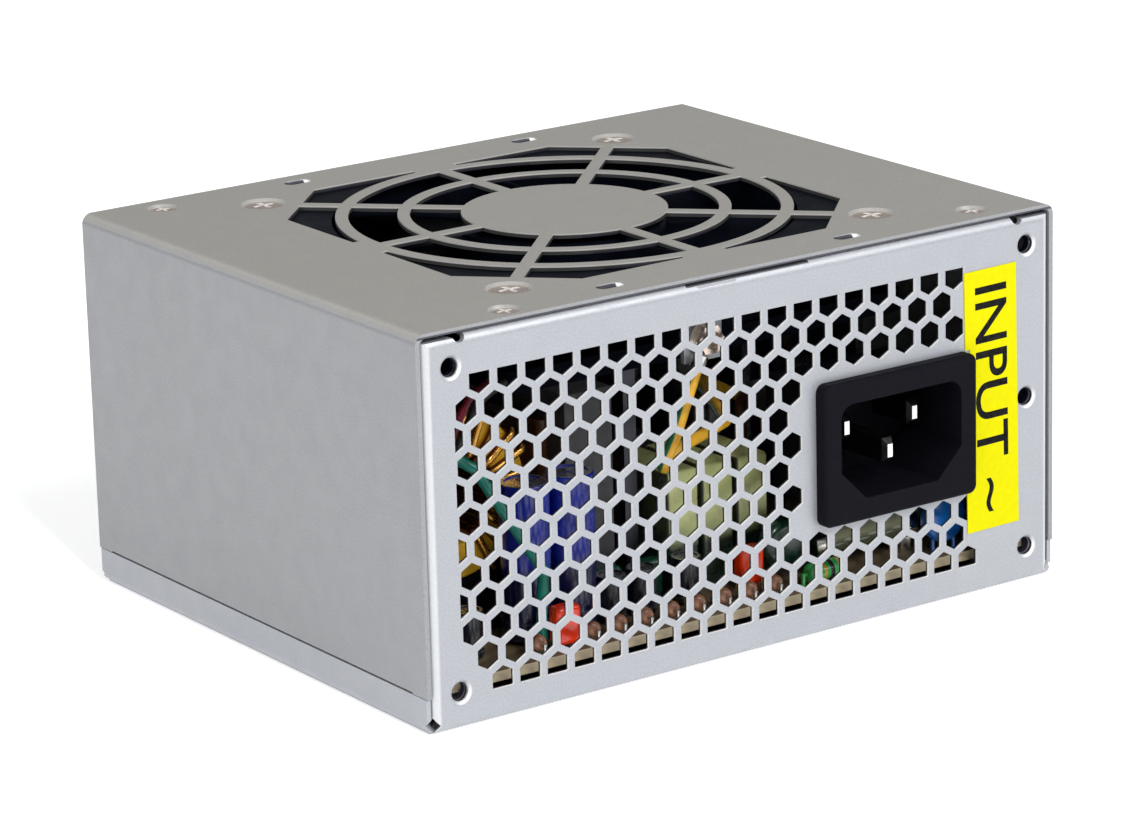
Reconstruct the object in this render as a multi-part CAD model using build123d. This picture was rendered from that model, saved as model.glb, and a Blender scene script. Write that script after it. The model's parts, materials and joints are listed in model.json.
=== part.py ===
from build123d import *
import os
from math import cos, radians, sin

# Compact computer power supply, millimetres.
# +Z is up, X runs across the case, the mains inlet and grille face -Y, the cable outlet faces +Y.
# The origin is the centre of the underside.

# ---------------------------------------------------------------- case
WIDTH = 125.0
DEPTH = 100.0
HEIGHT = 63.5
SHEET = 0.8
BEND = 1.8                      # outer radius of every sheet bend
LAP_GAP = 0.1                   # cover to the flanges that it laps over
STRIP_Z = 5.8                   # top of the side strips that belong to the base
TONGUE_Z = 12.0                 # top of the tongues behind the cover's lower edges
SEAM_GAP = 0.35                 # open seam between cover and strips
SEAM_TIGHT_GAP = 0.1            # the same seam near the corners
SEAM_TIGHT_END = 45.5
COVER_SETBACK = 0.4             # cover edges to the outer faces of the end panels
FLANGE_DEPTH = 7.0
FLANGE_HALF_WIDTH = 54.7        # bend relief centres of the top flanges
RELIEF_R = 1.1
FLANGE_DIP_HALF_WIDTH = 12.0
CORNER_RELIEF = (1.7, 8.0, 1.45)  # width and length of the cut, and its height above the floor

BACK_Y = -DEPTH / 2
FRONT_Y = DEPTH / 2
TUB_HALF = WIDTH / 2 - SHEET - LAP_GAP
TUB_Z = HEIGHT - SHEET - LAP_GAP
FLOOR_Z = SHEET
CEILING_Z = HEIGHT - SHEET

# rear fixing holes: four corners of a rectangle, and one more half way up the +X side
FIX_SPACING_X = 113.0
FIX_SPACING_Z = 51.5
FIX_LOW_Z = 6.0
FIX_HOLE_R = 1.45
FIX_COLLAR_R = 2.35
FIX_COLLAR_LENGTH = 1.6
FIX_ROUNDING = 0.85

# hexagonal vent in the rear panel
HEX_FLATS = 4.0
HEX_PITCH_X = 5.15
HEX_PITCH_Z = 4.4
HEX_ROWS = 12
HEX_TOP_Z = 54.8
HEX_FIRST_X = -51.3
HEX_CLIP_LEFT = -56.2
HEX_CLIP_LOW = 5.1
HEX_CLIP_HIGH = 56.0
HEX_LAST_X_UPPER = 42.0
HEX_LAST_X_LOWER = 44.5
HEX_LOWER_ROW = 9
HEX_COLUMNS = 20
HEX_HALF_CELL_ROWS = (2, 4, 6, 8)
INLET_LAND = (8.5, 17.5, 43.8)  # left edge, low and high limits of the unpierced area

# upright slots in the front panel
FRONT_SLOT = (16.0, 3.0)
FRONT_SLOT_X = range(-12, 55, 6)
FRONT_SLOT_Z = (20, 42)

# lug behind the rear panel that takes the earth screw
EARTH_X = -6.3
EARTH_Z = 52.4
EARTH_HOLE_R = 1.6
EARTH_LUG = (-10.0, -2.6, 48.6)  # left and right edges, and lower end
EARTH_LUG_Y = (-45.8, -45.0)

# ---------------------------------------------------------------- mains inlet
INLET_X = 28.5
INLET_Z = 30.1
INLET_FLANGE = (31.6, 23.7, 2.2)
INLET_FLANGE_CORNER = 1.5
INLET_BODY = (27.0, 19.6)
INLET_BODY_END = -34.0
INLET_CAVITY = (24.8, 16.2)
INLET_CAVITY_END = -37.0
INLET_BEVEL = 5.0
INLET_CUTOUT_GAP = 0.2
PIN_SPACING = 14.0
PIN_RISE = 2.3
PIN_WIDTH = 2.0
PIN_HEIGHT = 4.0
PIN_TIP = (1.0, 2.2, 1.0)       # width and height of the flat end, and length of the taper
LINE_PIN_TIP = -46.8
EARTH_PIN_TIP = -49.1
TAB_END = -27.0
TAB_HALF = 0.4
SLEEVE_END = -23.0
MAINS_WIRE_FOOT_Y = -18.6

# label beside the inlet
LABEL = (10.9, 44.2, 0.16)
LABEL_X = 49.0
LABEL_Z = 32.9
LABEL_TILT = 0.9

# ---------------------------------------------------------------- fan
FAN_SIZE = 80.0
FAN_THICK = 15.0
FAN_DUCT_R = 38.2
FAN_HOLE = 35.75                # half the spacing of the corner holes
FAN_HOLE_R = 2.15
FAN_HUB_R = 17.0
BLADE_COUNT = 7
BLADE_TIP_R = 37.0
SHAFT_R = 1.5
SHAFT_CLEARANCE = 0.05
BLADE_STATIONS = (              # radius, sweep angle, chord, pitch angle
    (15.9, 0.0, 12.6, 40.0),
    (26.0, 5.0, 16.5, 32.0),
    (38.5, 13.0, 20.5, 25.0),
)
STRUT_TURNS = (20, 110, 200, 290)
FAN_PLATE = 3.5
FAN_CORNER_R = 4.0
BEARING_TUBE_R = (3.0, 4.2)
TUBE_GAP = 0.05
CLIP_GROOVE = (2.2, 0.4, 1.15)  # height above the frame's lower face, width, inner radius
STATOR_SPAN = (5.2, 8.6)        # heights above the frame's lower face
POLE_HALF = 1.5
FAN_PLUG = (-55.4, -33.6)
FAN_PLUG_TOP = 13.6
FAN_TOP = CEILING_Z
FAN_LOW = FAN_TOP - FAN_THICK

# grille pressed into the cover over the fan
GRILLE_HALF = 38.7
GRILLE_CORNER = 14.7
GRILLE_HUB_R = 17.0
GRILLE_RINGS = ((25.4, 27.4), (35.5, 37.6))
GRILLE_SPOKE = 2.1
GRILLE_BRIDGE = 8.0

# screws through the cover
COVER_SCREWS = ((-50.0, 44.4), (-43.6, -45.8), (49.6, -44.5))
COVER_SCREW_HEAD_R = 2.2
COVER_SCREW_SEAT = (1.95, 2.7)   # countersink radii, low and high
COVER_SCREW_HOLE_R = 1.35
FAN_SCREW_HEAD_R = 3.2
FAN_SCREW_SEAT = (2.8, 3.85)
SCREW_SINK = 0.2                # screw heads below the cover's face
SCREW_DOME = 0.25
DENTS = ((-23.3, -45.0), (23.3, -45.0), (-23.3, 45.0), (23.3, 45.0))
DENT_LENGTH = 2.5
DENT_R = 1.3
DENT_DEPTH = 0.9
DENT_SLOT = 3.0                 # width of the slots in the flanges below the dents

# ---------------------------------------------------------------- circuit board
BOARD_LOW = 5.0
BOARD_THICK = 1.6
BOARD_X = 58.0
BOARD_BACK = -47.0
BOARD_FRONT = 46.0
BOARD_FIXINGS = ((-54.0, -41.0), (54.0, -41.0), (-54.0, 41.0), (54.0, 41.0))
BOARD_TOP = BOARD_LOW + BOARD_THICK
STUD_R = 3.0
STUD_BORE_R = 1.45
SHEET_INSULATION = 0.4

# heatsinks: limits in X and Y, and the packages screwed to them
HEATSINK_TOP = 46.4
HEATSINK_LOW = BOARD_TOP + 1.4
SECONDARY_SINK = (-33.4, -31.0, -13.0, 27.0)
PRIMARY_SINK = (-11.3, -8.9, -31.0, 16.0)
FINGER_PITCH = 7.0
FINGER_LENGTH = 6.5
FINGER_DEPTH = 9.0
RECTIFIER_Y = (-6.0, 7.0, 20.0)
SWITCH_Y = (-8.0, 6.0)
PACKAGE_Z = 24.0
PACKAGE_HOLE_Z = PACKAGE_Z + 5.6
PACKAGE_HOLE_R = 1.75
PAD_THICK = 0.3
LEAD_PITCH = 2.54

# transformers: limits in X, Y and Z, outer leg and window width
MAIN_TRANSFORMER = (-24.2, -12.2, -31.0, -1.0, 9.6, 42.6)
MAIN_LEG = 5.0
MAIN_WINDOW = 6.0
STANDBY_TRANSFORMER = (-3.0, 13.0, -15.0, 3.0, 9.1, 24.6)
STANDBY_LEG = 3.0
STANDBY_WINDOW = 3.6

# ring chokes: centre, then outer radius, inner radius and width of the core
CHOKE_AT = (-43.4, -24.4, 29.6)
CHOKE_CORE = (13.6, 7.6, 11.0)
CHOKE_TURNS = 22
CHOKE_WIRE_R = 0.7
CHOKE_SPREAD = (-62, 242)
CRADLE_HALF = (8.0, 5.4, 5.5)   # half widths of its foot and its neck, and half depth
CRADLE_FOOT_Z = 15.9
FILTER_AT = (50.8, -30.0, 13.2)
FILTER_CORE = (7.2, 4.0, 8.0)
FILTER_TURNS = 7
FILTER_WIRE_R = 0.45
FILTER_SPREAD = 52

# capacitors: places on the board, radii and heights
BULK_CAPACITORS = ((24.6, 1.0), (49.0, 1.0))
BULK_R = 11.0
BULK_HEIGHT = 36.0
BLUE_CAPACITORS = ((-35.2, -37.2), (-26.6, -37.2))
BLUE_R = 4.0
BLUE_HEIGHT = 25.6
OUTPUT_CAPACITORS = ((-54, -10), (-44, -10), (-54, 1), (-54, 12), (-54, 23))
OUTPUT_R = 4.9
OUTPUT_HEIGHT = 20.0
SMALL_CAPACITORS = (
    (-47.5, -38.8),
    (-20.0, -38.6),
    (-14.0, -38.6),
    (-5.2, -38.6),
    (-6.0, 27.0),
    (2.0, 27.0),
    (10.0, 27.0),
)
SMALL_R = 2.5
SMALL_HEIGHT = 7.5
X_CAPACITORS = (-3.4, 3.6, 10.6)
X_CAPACITOR_LIMITS = (-36.0, -20.0, 27.6)
Y_CAPACITORS = ((42.8, -45.0, 12.8), (52.6, -45.4, 12.4))
Y_CAPACITOR_SIZE = (4.3, 2.6)
RED_CAPACITORS = ((-33.45, -45.0), (6.6, -39.8))
GREEN_CAPACITORS = ((-10.0, -34.8), (-17.5, -34.2))
FILM_CAPACITOR_TOP = 14.0

# small parts
THERMISTOR = (13.4, -39.6, 13.0)
THERMISTOR_SIZE = (4.2, 3.4)
RESISTOR_FIRST_X = -38.6
RESISTOR_PITCH = 5.15
RESISTOR_SKIPPED = 1
RESISTOR_COUNT = 10
RESISTOR_Y = (-46.0, -42.6)
INDUCTOR_X = (14.5, 21.5)
INDUCTOR_Y = -44.8
INDUCTOR_Z = 8.6
FUSE_X = (18.5, 21.5, 36.5, 39.5)
FUSE_Y = -40.0
FUSE_Z = 11.6
FUSE_R = 2.5
BRIDGE_X = (-3.0, 15.0)
BRIDGE_Y = (16.0, 20.0)
BRIDGE_Z = (10.5, 26.0)
CHIPS = ((-19.2, 24.0, 8), (-19.2, 36.0, 7))  # X, Y and pins on each side
TRANSISTORS = ((-27.0, -29.8), (34.0, 24.0), (40.0, 24.0), (46.0, 24.0))

# cable outlet in the front panel
OUTLET_X = -38.0
OUTLET_Z = 20.0
OUTLET_BORE_R = 7.5
OUTLET_HOLE_R = 9.0
OUTLET_FLANGE_R = 11.5
OUTLET_FLANGE = 1.6


# ---------------------------------------------------------------- helpers
def block(x0, x1, y0, y1, z0, z1):
    """A box given by its limits."""
    return Pos((x0 + x1) / 2, (y0 + y1) / 2, (z0 + z1) / 2) * Box(x1 - x0, y1 - y0, z1 - z0)


def bar(start, end, radius):
    """A round bar from one point to another."""
    run = Vector(*end) - Vector(*start)
    upright = (Align.CENTER, Align.CENTER, Align.MIN)
    return Plane(start, z_dir=run) * Cylinder(radius, run.length, align=upright)


def cone(x, y, z_low, z_high, r_low, r_high):
    """An upright cone or taper."""
    upright = (Align.CENTER, Align.CENTER, Align.MIN)
    return Pos(x, y, z_low) * Cone(r_low, r_high, z_high - z_low, align=upright)


def tube(x, y, z_low, z_high, r_inner, r_outer):
    """An upright round tube."""
    return bar((x, y, z_low), (x, y, z_high), r_outer) - bar((x, y, z_low), (x, y, z_high), r_inner)


def across(sketch, y_low, y_high):
    """A sketch drawn in X and Z, made solid between two values of Y."""
    return Pos(0, y_high, 0) * extrude(Plane.XZ * sketch, y_high - y_low)


def group(shapes):
    """Several separate solids in one node."""
    return Compound([solid for shape in shapes for solid in shape.solids()])


def wire(points, radius, bend):
    """A round wire along straight runs joined by arcs."""
    path = FilletPolyline(*points, radius=bend)
    return sweep(Plane(path @ 0, z_dir=path % 0) * Circle(radius), path=path)


def phillips(x, y, z_top, reach, depth, width):
    """The cross-shaped recess of a screw head, to be cut from it."""
    one = block(x - reach, x + reach, y - width / 2, y + width / 2, z_top - depth, z_top + 1)
    other = block(x - width / 2, x + width / 2, y - reach, y + reach, z_top - depth, z_top + 1)
    return one + other


# ---------------------------------------------------------------- case
def bent_outline(inset):
    """The tub's outer form moved inwards: bends along X at top and bottom, and at the corners."""
    width = 2 * (TUB_HALF - inset)
    form = Pos(0, 0, TUB_Z / 2) * Box(width, DEPTH - 2 * inset, TUB_Z - 2 * inset)
    return fillet(form.edges().filter_by(Axis.Z) + form.edges().filter_by(Axis.X), BEND - inset)


def side_strips():
    """Bottom plate with the low strips that stand at its sides, flush with the cover."""
    height = 2 * HEIGHT
    outer = Pos(0, HEIGHT) * RectangleRounded(WIDTH, height, BEND)
    inner = Pos(0, HEIGHT) * RectangleRounded(WIDTH - 2 * SHEET, height - 2 * SHEET, BEND - SHEET)
    end = FRONT_Y - SHEET
    trough = across(outer - inner, -end, end) & block(-WIDTH, WIDTH, -end, end, 0, STRIP_Z)
    ends = Pos(0, TUB_Z / 2) * RectangleRounded(DEPTH, TUB_Z, BEND)
    return trough & extrude(Plane.YZ * ends, WIDTH / 2, both=True)


def hex_cells():
    """Centres of the hexagonal holes."""
    cells = []
    for row in range(HEX_ROWS):
        z = HEX_TOP_Z - row * HEX_PITCH_Z
        shift = -HEX_PITCH_X / 2 if row % 2 else 0
        first = 1 if row == HEX_ROWS - 1 else 0
        if row in HEX_HALF_CELL_ROWS:
            first = -1
        last_x = HEX_LAST_X_LOWER if row >= HEX_LOWER_ROW else HEX_LAST_X_UPPER
        for column in range(first, HEX_COLUMNS):
            x = HEX_FIRST_X + shift + column * HEX_PITCH_X
            on_land = x > INLET_LAND[0] and INLET_LAND[1] < z < INLET_LAND[2]
            if x <= last_x and not on_land:
                cells.append((x, z))
    return cells


def hex_vent():
    """The vent's holes as one cutter."""
    cell = RegularPolygon(HEX_FLATS / 2, 6, major_radius=False, rotation=30)
    field = Sketch() + [Pos(x, z) * cell for x, z in hex_cells()]
    width = HEX_LAST_X_LOWER + HEX_FLATS - HEX_CLIP_LEFT
    height = HEX_CLIP_HIGH - HEX_CLIP_LOW
    centre = Pos(HEX_CLIP_LEFT + width / 2, HEX_CLIP_LOW + height / 2)
    return across(field & (centre * Rectangle(width, height)), BACK_Y - 1, BACK_Y + SHEET + 1)


def fixing_places():
    """X and Z of the five rear fixing holes."""
    high = FIX_LOW_Z + FIX_SPACING_Z
    half = FIX_SPACING_X / 2
    middle = FIX_LOW_Z + FIX_SPACING_Z / 2
    return ((-half, FIX_LOW_Z), (half, FIX_LOW_Z), (-half, high), (half, high), (half, middle))


def add_fixing(sheet, x, z):
    """A drawn collar with a rounded mouth and a hole for a screw."""
    collar_end = BACK_Y + SHEET + FIX_COLLAR_LENGTH
    sheet += bar((x, BACK_Y + SHEET / 2, z), (x, collar_end, z), FIX_COLLAR_R)
    mouth_r = FIX_HOLE_R + FIX_ROUNDING
    mouth = bar((x, BACK_Y - 1, z), (x, BACK_Y + FIX_ROUNDING, z), mouth_r)
    ring = Plane((x, BACK_Y + FIX_ROUNDING, z), z_dir=(0, 1, 0)) * Torus(mouth_r, FIX_ROUNDING)
    throat = bar((x, BACK_Y - 1, z), (x, collar_end + 1, z), FIX_HOLE_R)
    return sheet - (mouth - ring) - throat


def inlet_outline(width, height):
    """The inlet's section: two corners bevelled at the bottom, two rounded at the top."""
    outline = Pos(INLET_X, INLET_Z) * Rectangle(width, height)
    corners = outline.vertices().sort_by(Axis.Y)
    outline = chamfer(corners[:2], INLET_BEVEL)
    upper = outline.vertices().sort_by(Axis.Y)[-2:]
    return fillet(upper, 2.5)


def earth_tab():
    """A lug bent in from the rear panel's top edge, which takes the earth screw."""
    left, right, low = EARTH_LUG
    near, far = EARTH_LUG_Y
    high = TUB_Z - 0.7
    arm = block(left, right, BACK_Y + SHEET / 4, far, high - SHEET, high)
    drop = block(left, right, near, far, low, high)
    return arm + drop - bar((EARTH_X, near - 1, EARTH_Z), (EARTH_X, far + 1, EARTH_Z), EARTH_HOLE_R)


def front_vents():
    """Upright slots in the front panel."""
    slot = SlotOverall(*FRONT_SLOT, rotation=90)
    places = [Pos(x, z) for x in FRONT_SLOT_X for z in FRONT_SLOT_Z]
    return across(Sketch() + [place * slot for place in places], FRONT_Y - 2, FRONT_Y + 1)


def base_chassis():
    """Bottom, rear grille panel, front panel and side strips, bent from one sheet."""
    tub = bent_outline(0) - bent_outline(SHEET)
    reach = FRONT_Y - FLANGE_DEPTH
    tub -= block(-WIDTH, WIDTH, -reach, reach, TONGUE_Z, HEIGHT)
    for side in (-1, 1):
        hollow = sorted((side * (TUB_HALF - SHEET - 0.1), side * WIDTH))
        tub -= block(*hollow, -reach, reach, FLOOR_Z, STRIP_Z - 1)
    tub += side_strips()
    for side in (-1, 1):
        shoulder = sorted((side * (TUB_HALF - SHEET), side * (WIDTH / 2 - SHEET / 2)))
        tub += block(*shoulder, -reach, reach, STRIP_Z - 1, STRIP_Z)
    relief_width, relief_length, relief_z = CORNER_RELIEF
    for end in (-1, 1):
        y_limits = sorted((end * (FRONT_Y + 1), end * (reach - 1)))
        tub -= block(-FLANGE_DIP_HALF_WIDTH, FLANGE_DIP_HALF_WIDTH, *y_limits, TUB_Z - 0.6, HEIGHT)
        for side in (-1, 1):
            x_limits = sorted((side * FLANGE_HALF_WIDTH, side * WIDTH))
            tub -= block(*x_limits, *y_limits, TUB_Z - 0.7, HEIGHT)
            relief = side * FLANGE_HALF_WIDTH
            tub -= bar((relief, y_limits[0], TUB_Z - 0.35), (relief, y_limits[1], TUB_Z - 0.35), RELIEF_R)
            corner = Pos(side * TUB_HALF, end * (FRONT_Y - 0.6), relief_z) * Rot(0, 0, -45 * side * end)
            tub -= corner * Rot(0, 45, 0) * Box(relief_width, relief_length, relief_width)
    tub -= hex_vent()
    for x, z in fixing_places():
        tub = add_fixing(tub, x, z)
    gap = 2 * INLET_CUTOUT_GAP
    cutout = Pos(INLET_X, INLET_Z) * Rectangle(INLET_BODY[0] + gap, INLET_BODY[1] + gap)
    tub -= across(cutout, BACK_Y - 1, BACK_Y + SHEET + 1)
    tub += earth_tab()
    tub -= front_vents()
    tub -= bar((OUTLET_X, FRONT_Y - 3, OUTLET_Z), (OUTLET_X, FRONT_Y + 1, OUTLET_Z), OUTLET_HOLE_R)
    for x, y in COVER_SCREWS:
        tub -= bar((x, y, TUB_Z - 3), (x, y, HEIGHT), COVER_SCREW_HOLE_R)
    dent_slot = SlotCenterToCenter(DENT_LENGTH, DENT_SLOT)
    for x, y in DENTS:
        tub -= extrude(Pos(x, y, TUB_Z - 2 * SHEET) * dent_slot, 3 * SHEET)
    return tub


def grille_cut():
    """The openings between the grille's rings and spokes."""
    square = Rectangle(2 * GRILLE_HALF, 2 * GRILLE_HALF)
    field = chamfer(square.vertices(), GRILLE_CORNER)
    kept = Circle(GRILLE_HUB_R)
    for inner, outer in GRILLE_RINGS:
        kept += Circle(outer) - Circle(inner)
    for turn in range(0, 180, 45):
        kept += Rot(0, 0, turn) * Rectangle(3 * GRILLE_HALF, GRILLE_SPOKE)
    bridges = Rectangle(3 * GRILLE_HALF, GRILLE_BRIDGE) + Rectangle(GRILLE_BRIDGE, 3 * GRILLE_HALF)
    kept += bridges - Circle(GRILLE_RINGS[1][0] + 0.5)
    return extrude(Pos(0, 0, CEILING_Z - 1) * (field - kept), SHEET + 2)


def capsule(x, y, z, length, radius):
    """A round-ended bar along X."""
    shape = bar((x - length / 2, y, z), (x + length / 2, y, z), radius)
    return shape + Pos(x - length / 2, y, z) * Sphere(radius) + Pos(x + length / 2, y, z) * Sphere(radius)


def top_cover():
    """Top and two sides, bent from one sheet, with the fan grille pressed into the top."""
    height = 2 * HEIGHT
    outer = RectangleRounded(WIDTH, height, BEND)
    inner = RectangleRounded(WIDTH - 2 * SHEET, height - 2 * SHEET, BEND - SHEET)
    end = FRONT_Y - COVER_SETBACK
    low = STRIP_Z + SEAM_TIGHT_GAP
    cover = across(outer - inner, -end, end) & block(-WIDTH, WIDTH, -end, end, low, HEIGHT)
    cover -= block(-WIDTH, WIDTH, -SEAM_TIGHT_END, SEAM_TIGHT_END, 0, STRIP_Z + SEAM_GAP)
    dent_z = HEIGHT + DENT_R - DENT_DEPTH
    for x, y in DENTS:
        pressed = capsule(x, y, dent_z - SHEET, DENT_LENGTH, DENT_R)
        cover += pressed & block(x - 5, x + 5, y - 3, y + 3, CEILING_Z - 2, CEILING_Z + SHEET / 2)
        cover -= capsule(x, y, dent_z, DENT_LENGTH, DENT_R)
    for x in (-FAN_HOLE, FAN_HOLE):
        for y in (-FAN_HOLE, FAN_HOLE):
            cover -= cone(x, y, CEILING_Z, HEIGHT, *FAN_SCREW_SEAT)
    for x, y in COVER_SCREWS:
        cover -= cone(x, y, CEILING_Z, HEIGHT, *COVER_SCREW_SEAT)
    return cover - grille_cut()


def countersunk_screw(x, y, head_r, throat_r, shank_r, length):
    """A flat screw whose slightly domed head lies just below the cover's face."""
    top = HEIGHT - SCREW_SINK
    head = cone(x, y, CEILING_Z, top - SCREW_DOME, throat_r, head_r)
    dome_r = (head_r ** 2 + SCREW_DOME ** 2) / (2 * SCREW_DOME)
    dome = Pos(x, y, top - dome_r) * Sphere(dome_r)
    head += dome & bar((x, y, top - SCREW_DOME), (x, y, top + 1), head_r)
    shank = bar((x, y, CEILING_Z - length), (x, y, CEILING_Z + 0.2), shank_r)
    reach = 0.58 * head_r
    return head + shank - phillips(x, y, top, reach, 0.8, 0.26 * head_r)


def cover_screws():
    """Three small screws into the base's top flanges."""
    return group([countersunk_screw(x, y, COVER_SCREW_HEAD_R, 1.4, 1.25, 4.5) for x, y in COVER_SCREWS])


def fan_screws():
    """Four screws into the fan's corner holes."""
    corners = [(x, y) for x in (-FAN_HOLE, FAN_HOLE) for y in (-FAN_HOLE, FAN_HOLE)]
    return group([countersunk_screw(x, y, FAN_SCREW_HEAD_R, 2.1, 2.1, 9.0) for x, y in corners])


def voltage_label():
    """Thin sticker beside the inlet, set a little askew, its edge against the inlet's flange."""
    width, height, thick = LABEL
    sticker = across(Rectangle(width, height), -thick / 2, thick / 2)
    sticker = Pos(LABEL_X, BACK_Y - thick / 2, LABEL_Z) * Rot(0, -LABEL_TILT, 0) * sticker
    half_w = INLET_FLANGE[0] / 2 + 0.05
    half_h = INLET_FLANGE[1] / 2 + 0.05
    around = block(INLET_X - half_w, INLET_X + half_w, -52, -48, INLET_Z - half_h, INLET_Z + half_h)
    return sticker - around - block(40, 60, BACK_Y, -48, 0, HEIGHT)


# ---------------------------------------------------------------- mains inlet
def pin_places():
    """X, Z and tip of the line, neutral and earth pins."""
    half = PIN_SPACING / 2
    line = (INLET_X - half, INLET_Z + PIN_RISE, LINE_PIN_TIP)
    neutral = (INLET_X + half, INLET_Z + PIN_RISE, LINE_PIN_TIP)
    earth = (INLET_X, INLET_Z - PIN_RISE, EARTH_PIN_TIP)
    return line, neutral, earth


def inlet_housing():
    """Moulded snap-in inlet: flange, body, cavity and the snap wedges behind the panel."""
    width, height, proud = INLET_FLANGE
    flange = Pos(INLET_X, INLET_Z) * RectangleRounded(width, height, INLET_FLANGE_CORNER)
    flange = across(flange, BACK_Y - proud, BACK_Y)
    rim = flange.faces().sort_by(Axis.Y)[0].edges()
    housing = fillet(rim, 0.7)
    body = Pos(INLET_X, INLET_Z) * RectangleRounded(INLET_BODY[0], INLET_BODY[1], 1.0)
    housing += across(body, BACK_Y - 0.5, INLET_BODY_END)
    for side in (-1, 1):
        wedge_x = INLET_X + side * INLET_BODY[0] / 2
        wedge = Polyline((wedge_x, -48.9), (wedge_x + side * 1.3, -48.9), (wedge_x, -42), close=True)
        housing += extrude(Pos(0, 0, INLET_Z - 4) * make_face(wedge), 8)
    housing -= across(inlet_outline(*INLET_CAVITY), BACK_Y - proud - 1, INLET_CAVITY_END)
    for x, z, _ in pin_places():
        housing -= across(Pos(x, z) * Rectangle(PIN_WIDTH, PIN_HEIGHT), -40, -30)
    return housing


def solder_tab(x, z, y):
    """Thin tab of a pin, from a given depth to its end."""
    return block(x - TAB_HALF, x + TAB_HALF, y, TAB_END, z - PIN_HEIGHT / 2, z + PIN_HEIGHT / 2)


def inlet_blades():
    """Three flat pins with tapered tips and solder tabs behind the housing."""
    blades = []
    tip_width, tip_height, taper = PIN_TIP
    for x, z, tip in pin_places():
        end = Plane((x, tip, z), x_dir=(1, 0, 0), z_dir=(0, -1, 0)) * Rectangle(tip_width, tip_height)
        root = Plane((x, tip + taper, z), x_dir=(1, 0, 0), z_dir=(0, -1, 0))
        blade = loft([end, root * Rectangle(PIN_WIDTH, PIN_HEIGHT)])
        blade += across(Pos(x, z) * Rectangle(PIN_WIDTH, PIN_HEIGHT), tip + taper, INLET_BODY_END)
        blades.append(blade + solder_tab(x, z, INLET_BODY_END - 1))
    return group(blades)


def terminal_sleeves():
    """Insulating sleeves over the inlet's tabs, with the wires leaving from their ends."""
    sleeves = []
    for x, z, _ in pin_places():
        sleeve = block(x - 1.8, x + 1.8, INLET_BODY_END + 1, SLEEVE_END, z - 3.0, z + 3.0)
        sleeve = fillet(sleeve.edges().filter_by(Axis.Y), 1.2)
        sleeves.append(sleeve - solder_tab(x, z, INLET_BODY_END))
    return group(sleeves)


def mains_wire(pin, foot_y):
    """A lead from a sleeve down to the board."""
    x, z, _ = pin
    route = ((x, SLEEVE_END, z), (x, foot_y, z), (x, foot_y, BOARD_TOP))
    return wire(route, 1.0, 2.5)


def earth_wire():
    """The earth lead from the inlet, across behind the grille and up to the ring terminal."""
    x, z, _ = pin_places()[2]
    route = (
        (x, SLEEVE_END, z),
        (x, -14.8, z),
        (15.5, -14.6, 35.0),
        (3.5, -38.5, 35.2),
        (-9.5, -42.8, 34.0),
        (-14.8, -44.6, 30.5),
        (-12.6, -46.9, 38.0),
        (-8.02, -46.9, 48.9),
    )
    return wire(route, 0.95, 1.6)


def earth_ring_terminal():
    """Ring and crimp barrel of the earth lead."""
    face = EARTH_LUG_Y[0]
    ring = bar((EARTH_X, face - 0.8, EARTH_Z), (EARTH_X, face, EARTH_Z), 3.0)
    neck = across(Pos(-7.5, 49.9) * Rot(0, 0, -23) * Rectangle(2.4, 3.2), face - 0.8, face)
    barrel = bar((-8.4, -46.9, 48.0), (-7.6, -46.9, 49.9), 1.3)
    shape = ring + neck + barrel - bar((-8.61, -46.9, 47.5), (-7.98, -46.9, 49.0), 1.0)
    shape -= block(-12, -2, face, face + 2, 44, 56)
    return shape - bar((EARTH_X, face - 3, EARTH_Z), (EARTH_X, face + 1, EARTH_Z), EARTH_HOLE_R)


def earth_screw():
    """Screw through the earth tab, with its nut against the ring."""
    near, far = EARTH_LUG_Y
    screw = bar((EARTH_X, near - 2.1, EARTH_Z), (EARTH_X, far + 1.8, EARTH_Z), 1.5)
    screw += bar((EARTH_X, far, EARTH_Z), (EARTH_X, far + 1.8, EARTH_Z), 2.8)
    nut = across(Pos(EARTH_X, EARTH_Z) * RegularPolygon(2.5, 6), near - 2.4, near - 0.8)
    nut -= bar((EARTH_X, near - 4, EARTH_Z), (EARTH_X, far, EARTH_Z), 1.5)
    return group([screw, nut])


# ---------------------------------------------------------------- fan
def fan_frame():
    """Square frame with a round duct, corner holes, four struts and the bearing tube."""
    plate = extrude(RectangleRounded(FAN_SIZE, FAN_SIZE, FAN_CORNER_R), FAN_PLATE)
    frame = Pos(0, 0, FAN_LOW) * plate + Pos(0, 0, FAN_TOP - FAN_PLATE) * plate
    square = block(-FAN_SIZE / 2, FAN_SIZE / 2, -FAN_SIZE / 2, FAN_SIZE / 2, FAN_LOW, FAN_TOP)
    frame += bar((0, 0, FAN_LOW), (0, 0, FAN_TOP), FAN_DUCT_R + 2.2) & square
    frame -= bar((0, 0, FAN_LOW - 1), (0, 0, FAN_TOP + 1), FAN_DUCT_R)
    for x in (-FAN_HOLE, FAN_HOLE):
        for y in (-FAN_HOLE, FAN_HOLE):
            frame -= bar((x, y, FAN_LOW - 1), (x, y, FAN_TOP + 1), FAN_HOLE_R)
    for turn in STRUT_TURNS:
        frame += Rot(0, 0, turn) * block(14, FAN_DUCT_R + 0.8, -1.6, 1.6, FAN_LOW, FAN_LOW + 2.4)
    frame += bar((0, 0, FAN_LOW), (0, 0, FAN_LOW + 1.2), FAN_HUB_R - 0.5)
    frame += tube(0, 0, FAN_LOW, FAN_LOW + 3.2, FAN_HUB_R - 1.7, FAN_HUB_R - 0.5)
    bore_r, tube_r = BEARING_TUBE_R
    frame += bar((0, 0, FAN_LOW), (0, 0, FAN_LOW + 9.8), tube_r)
    return frame - bar((0, 0, FAN_LOW + 1.0), (0, 0, FAN_TOP), bore_r)


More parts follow.
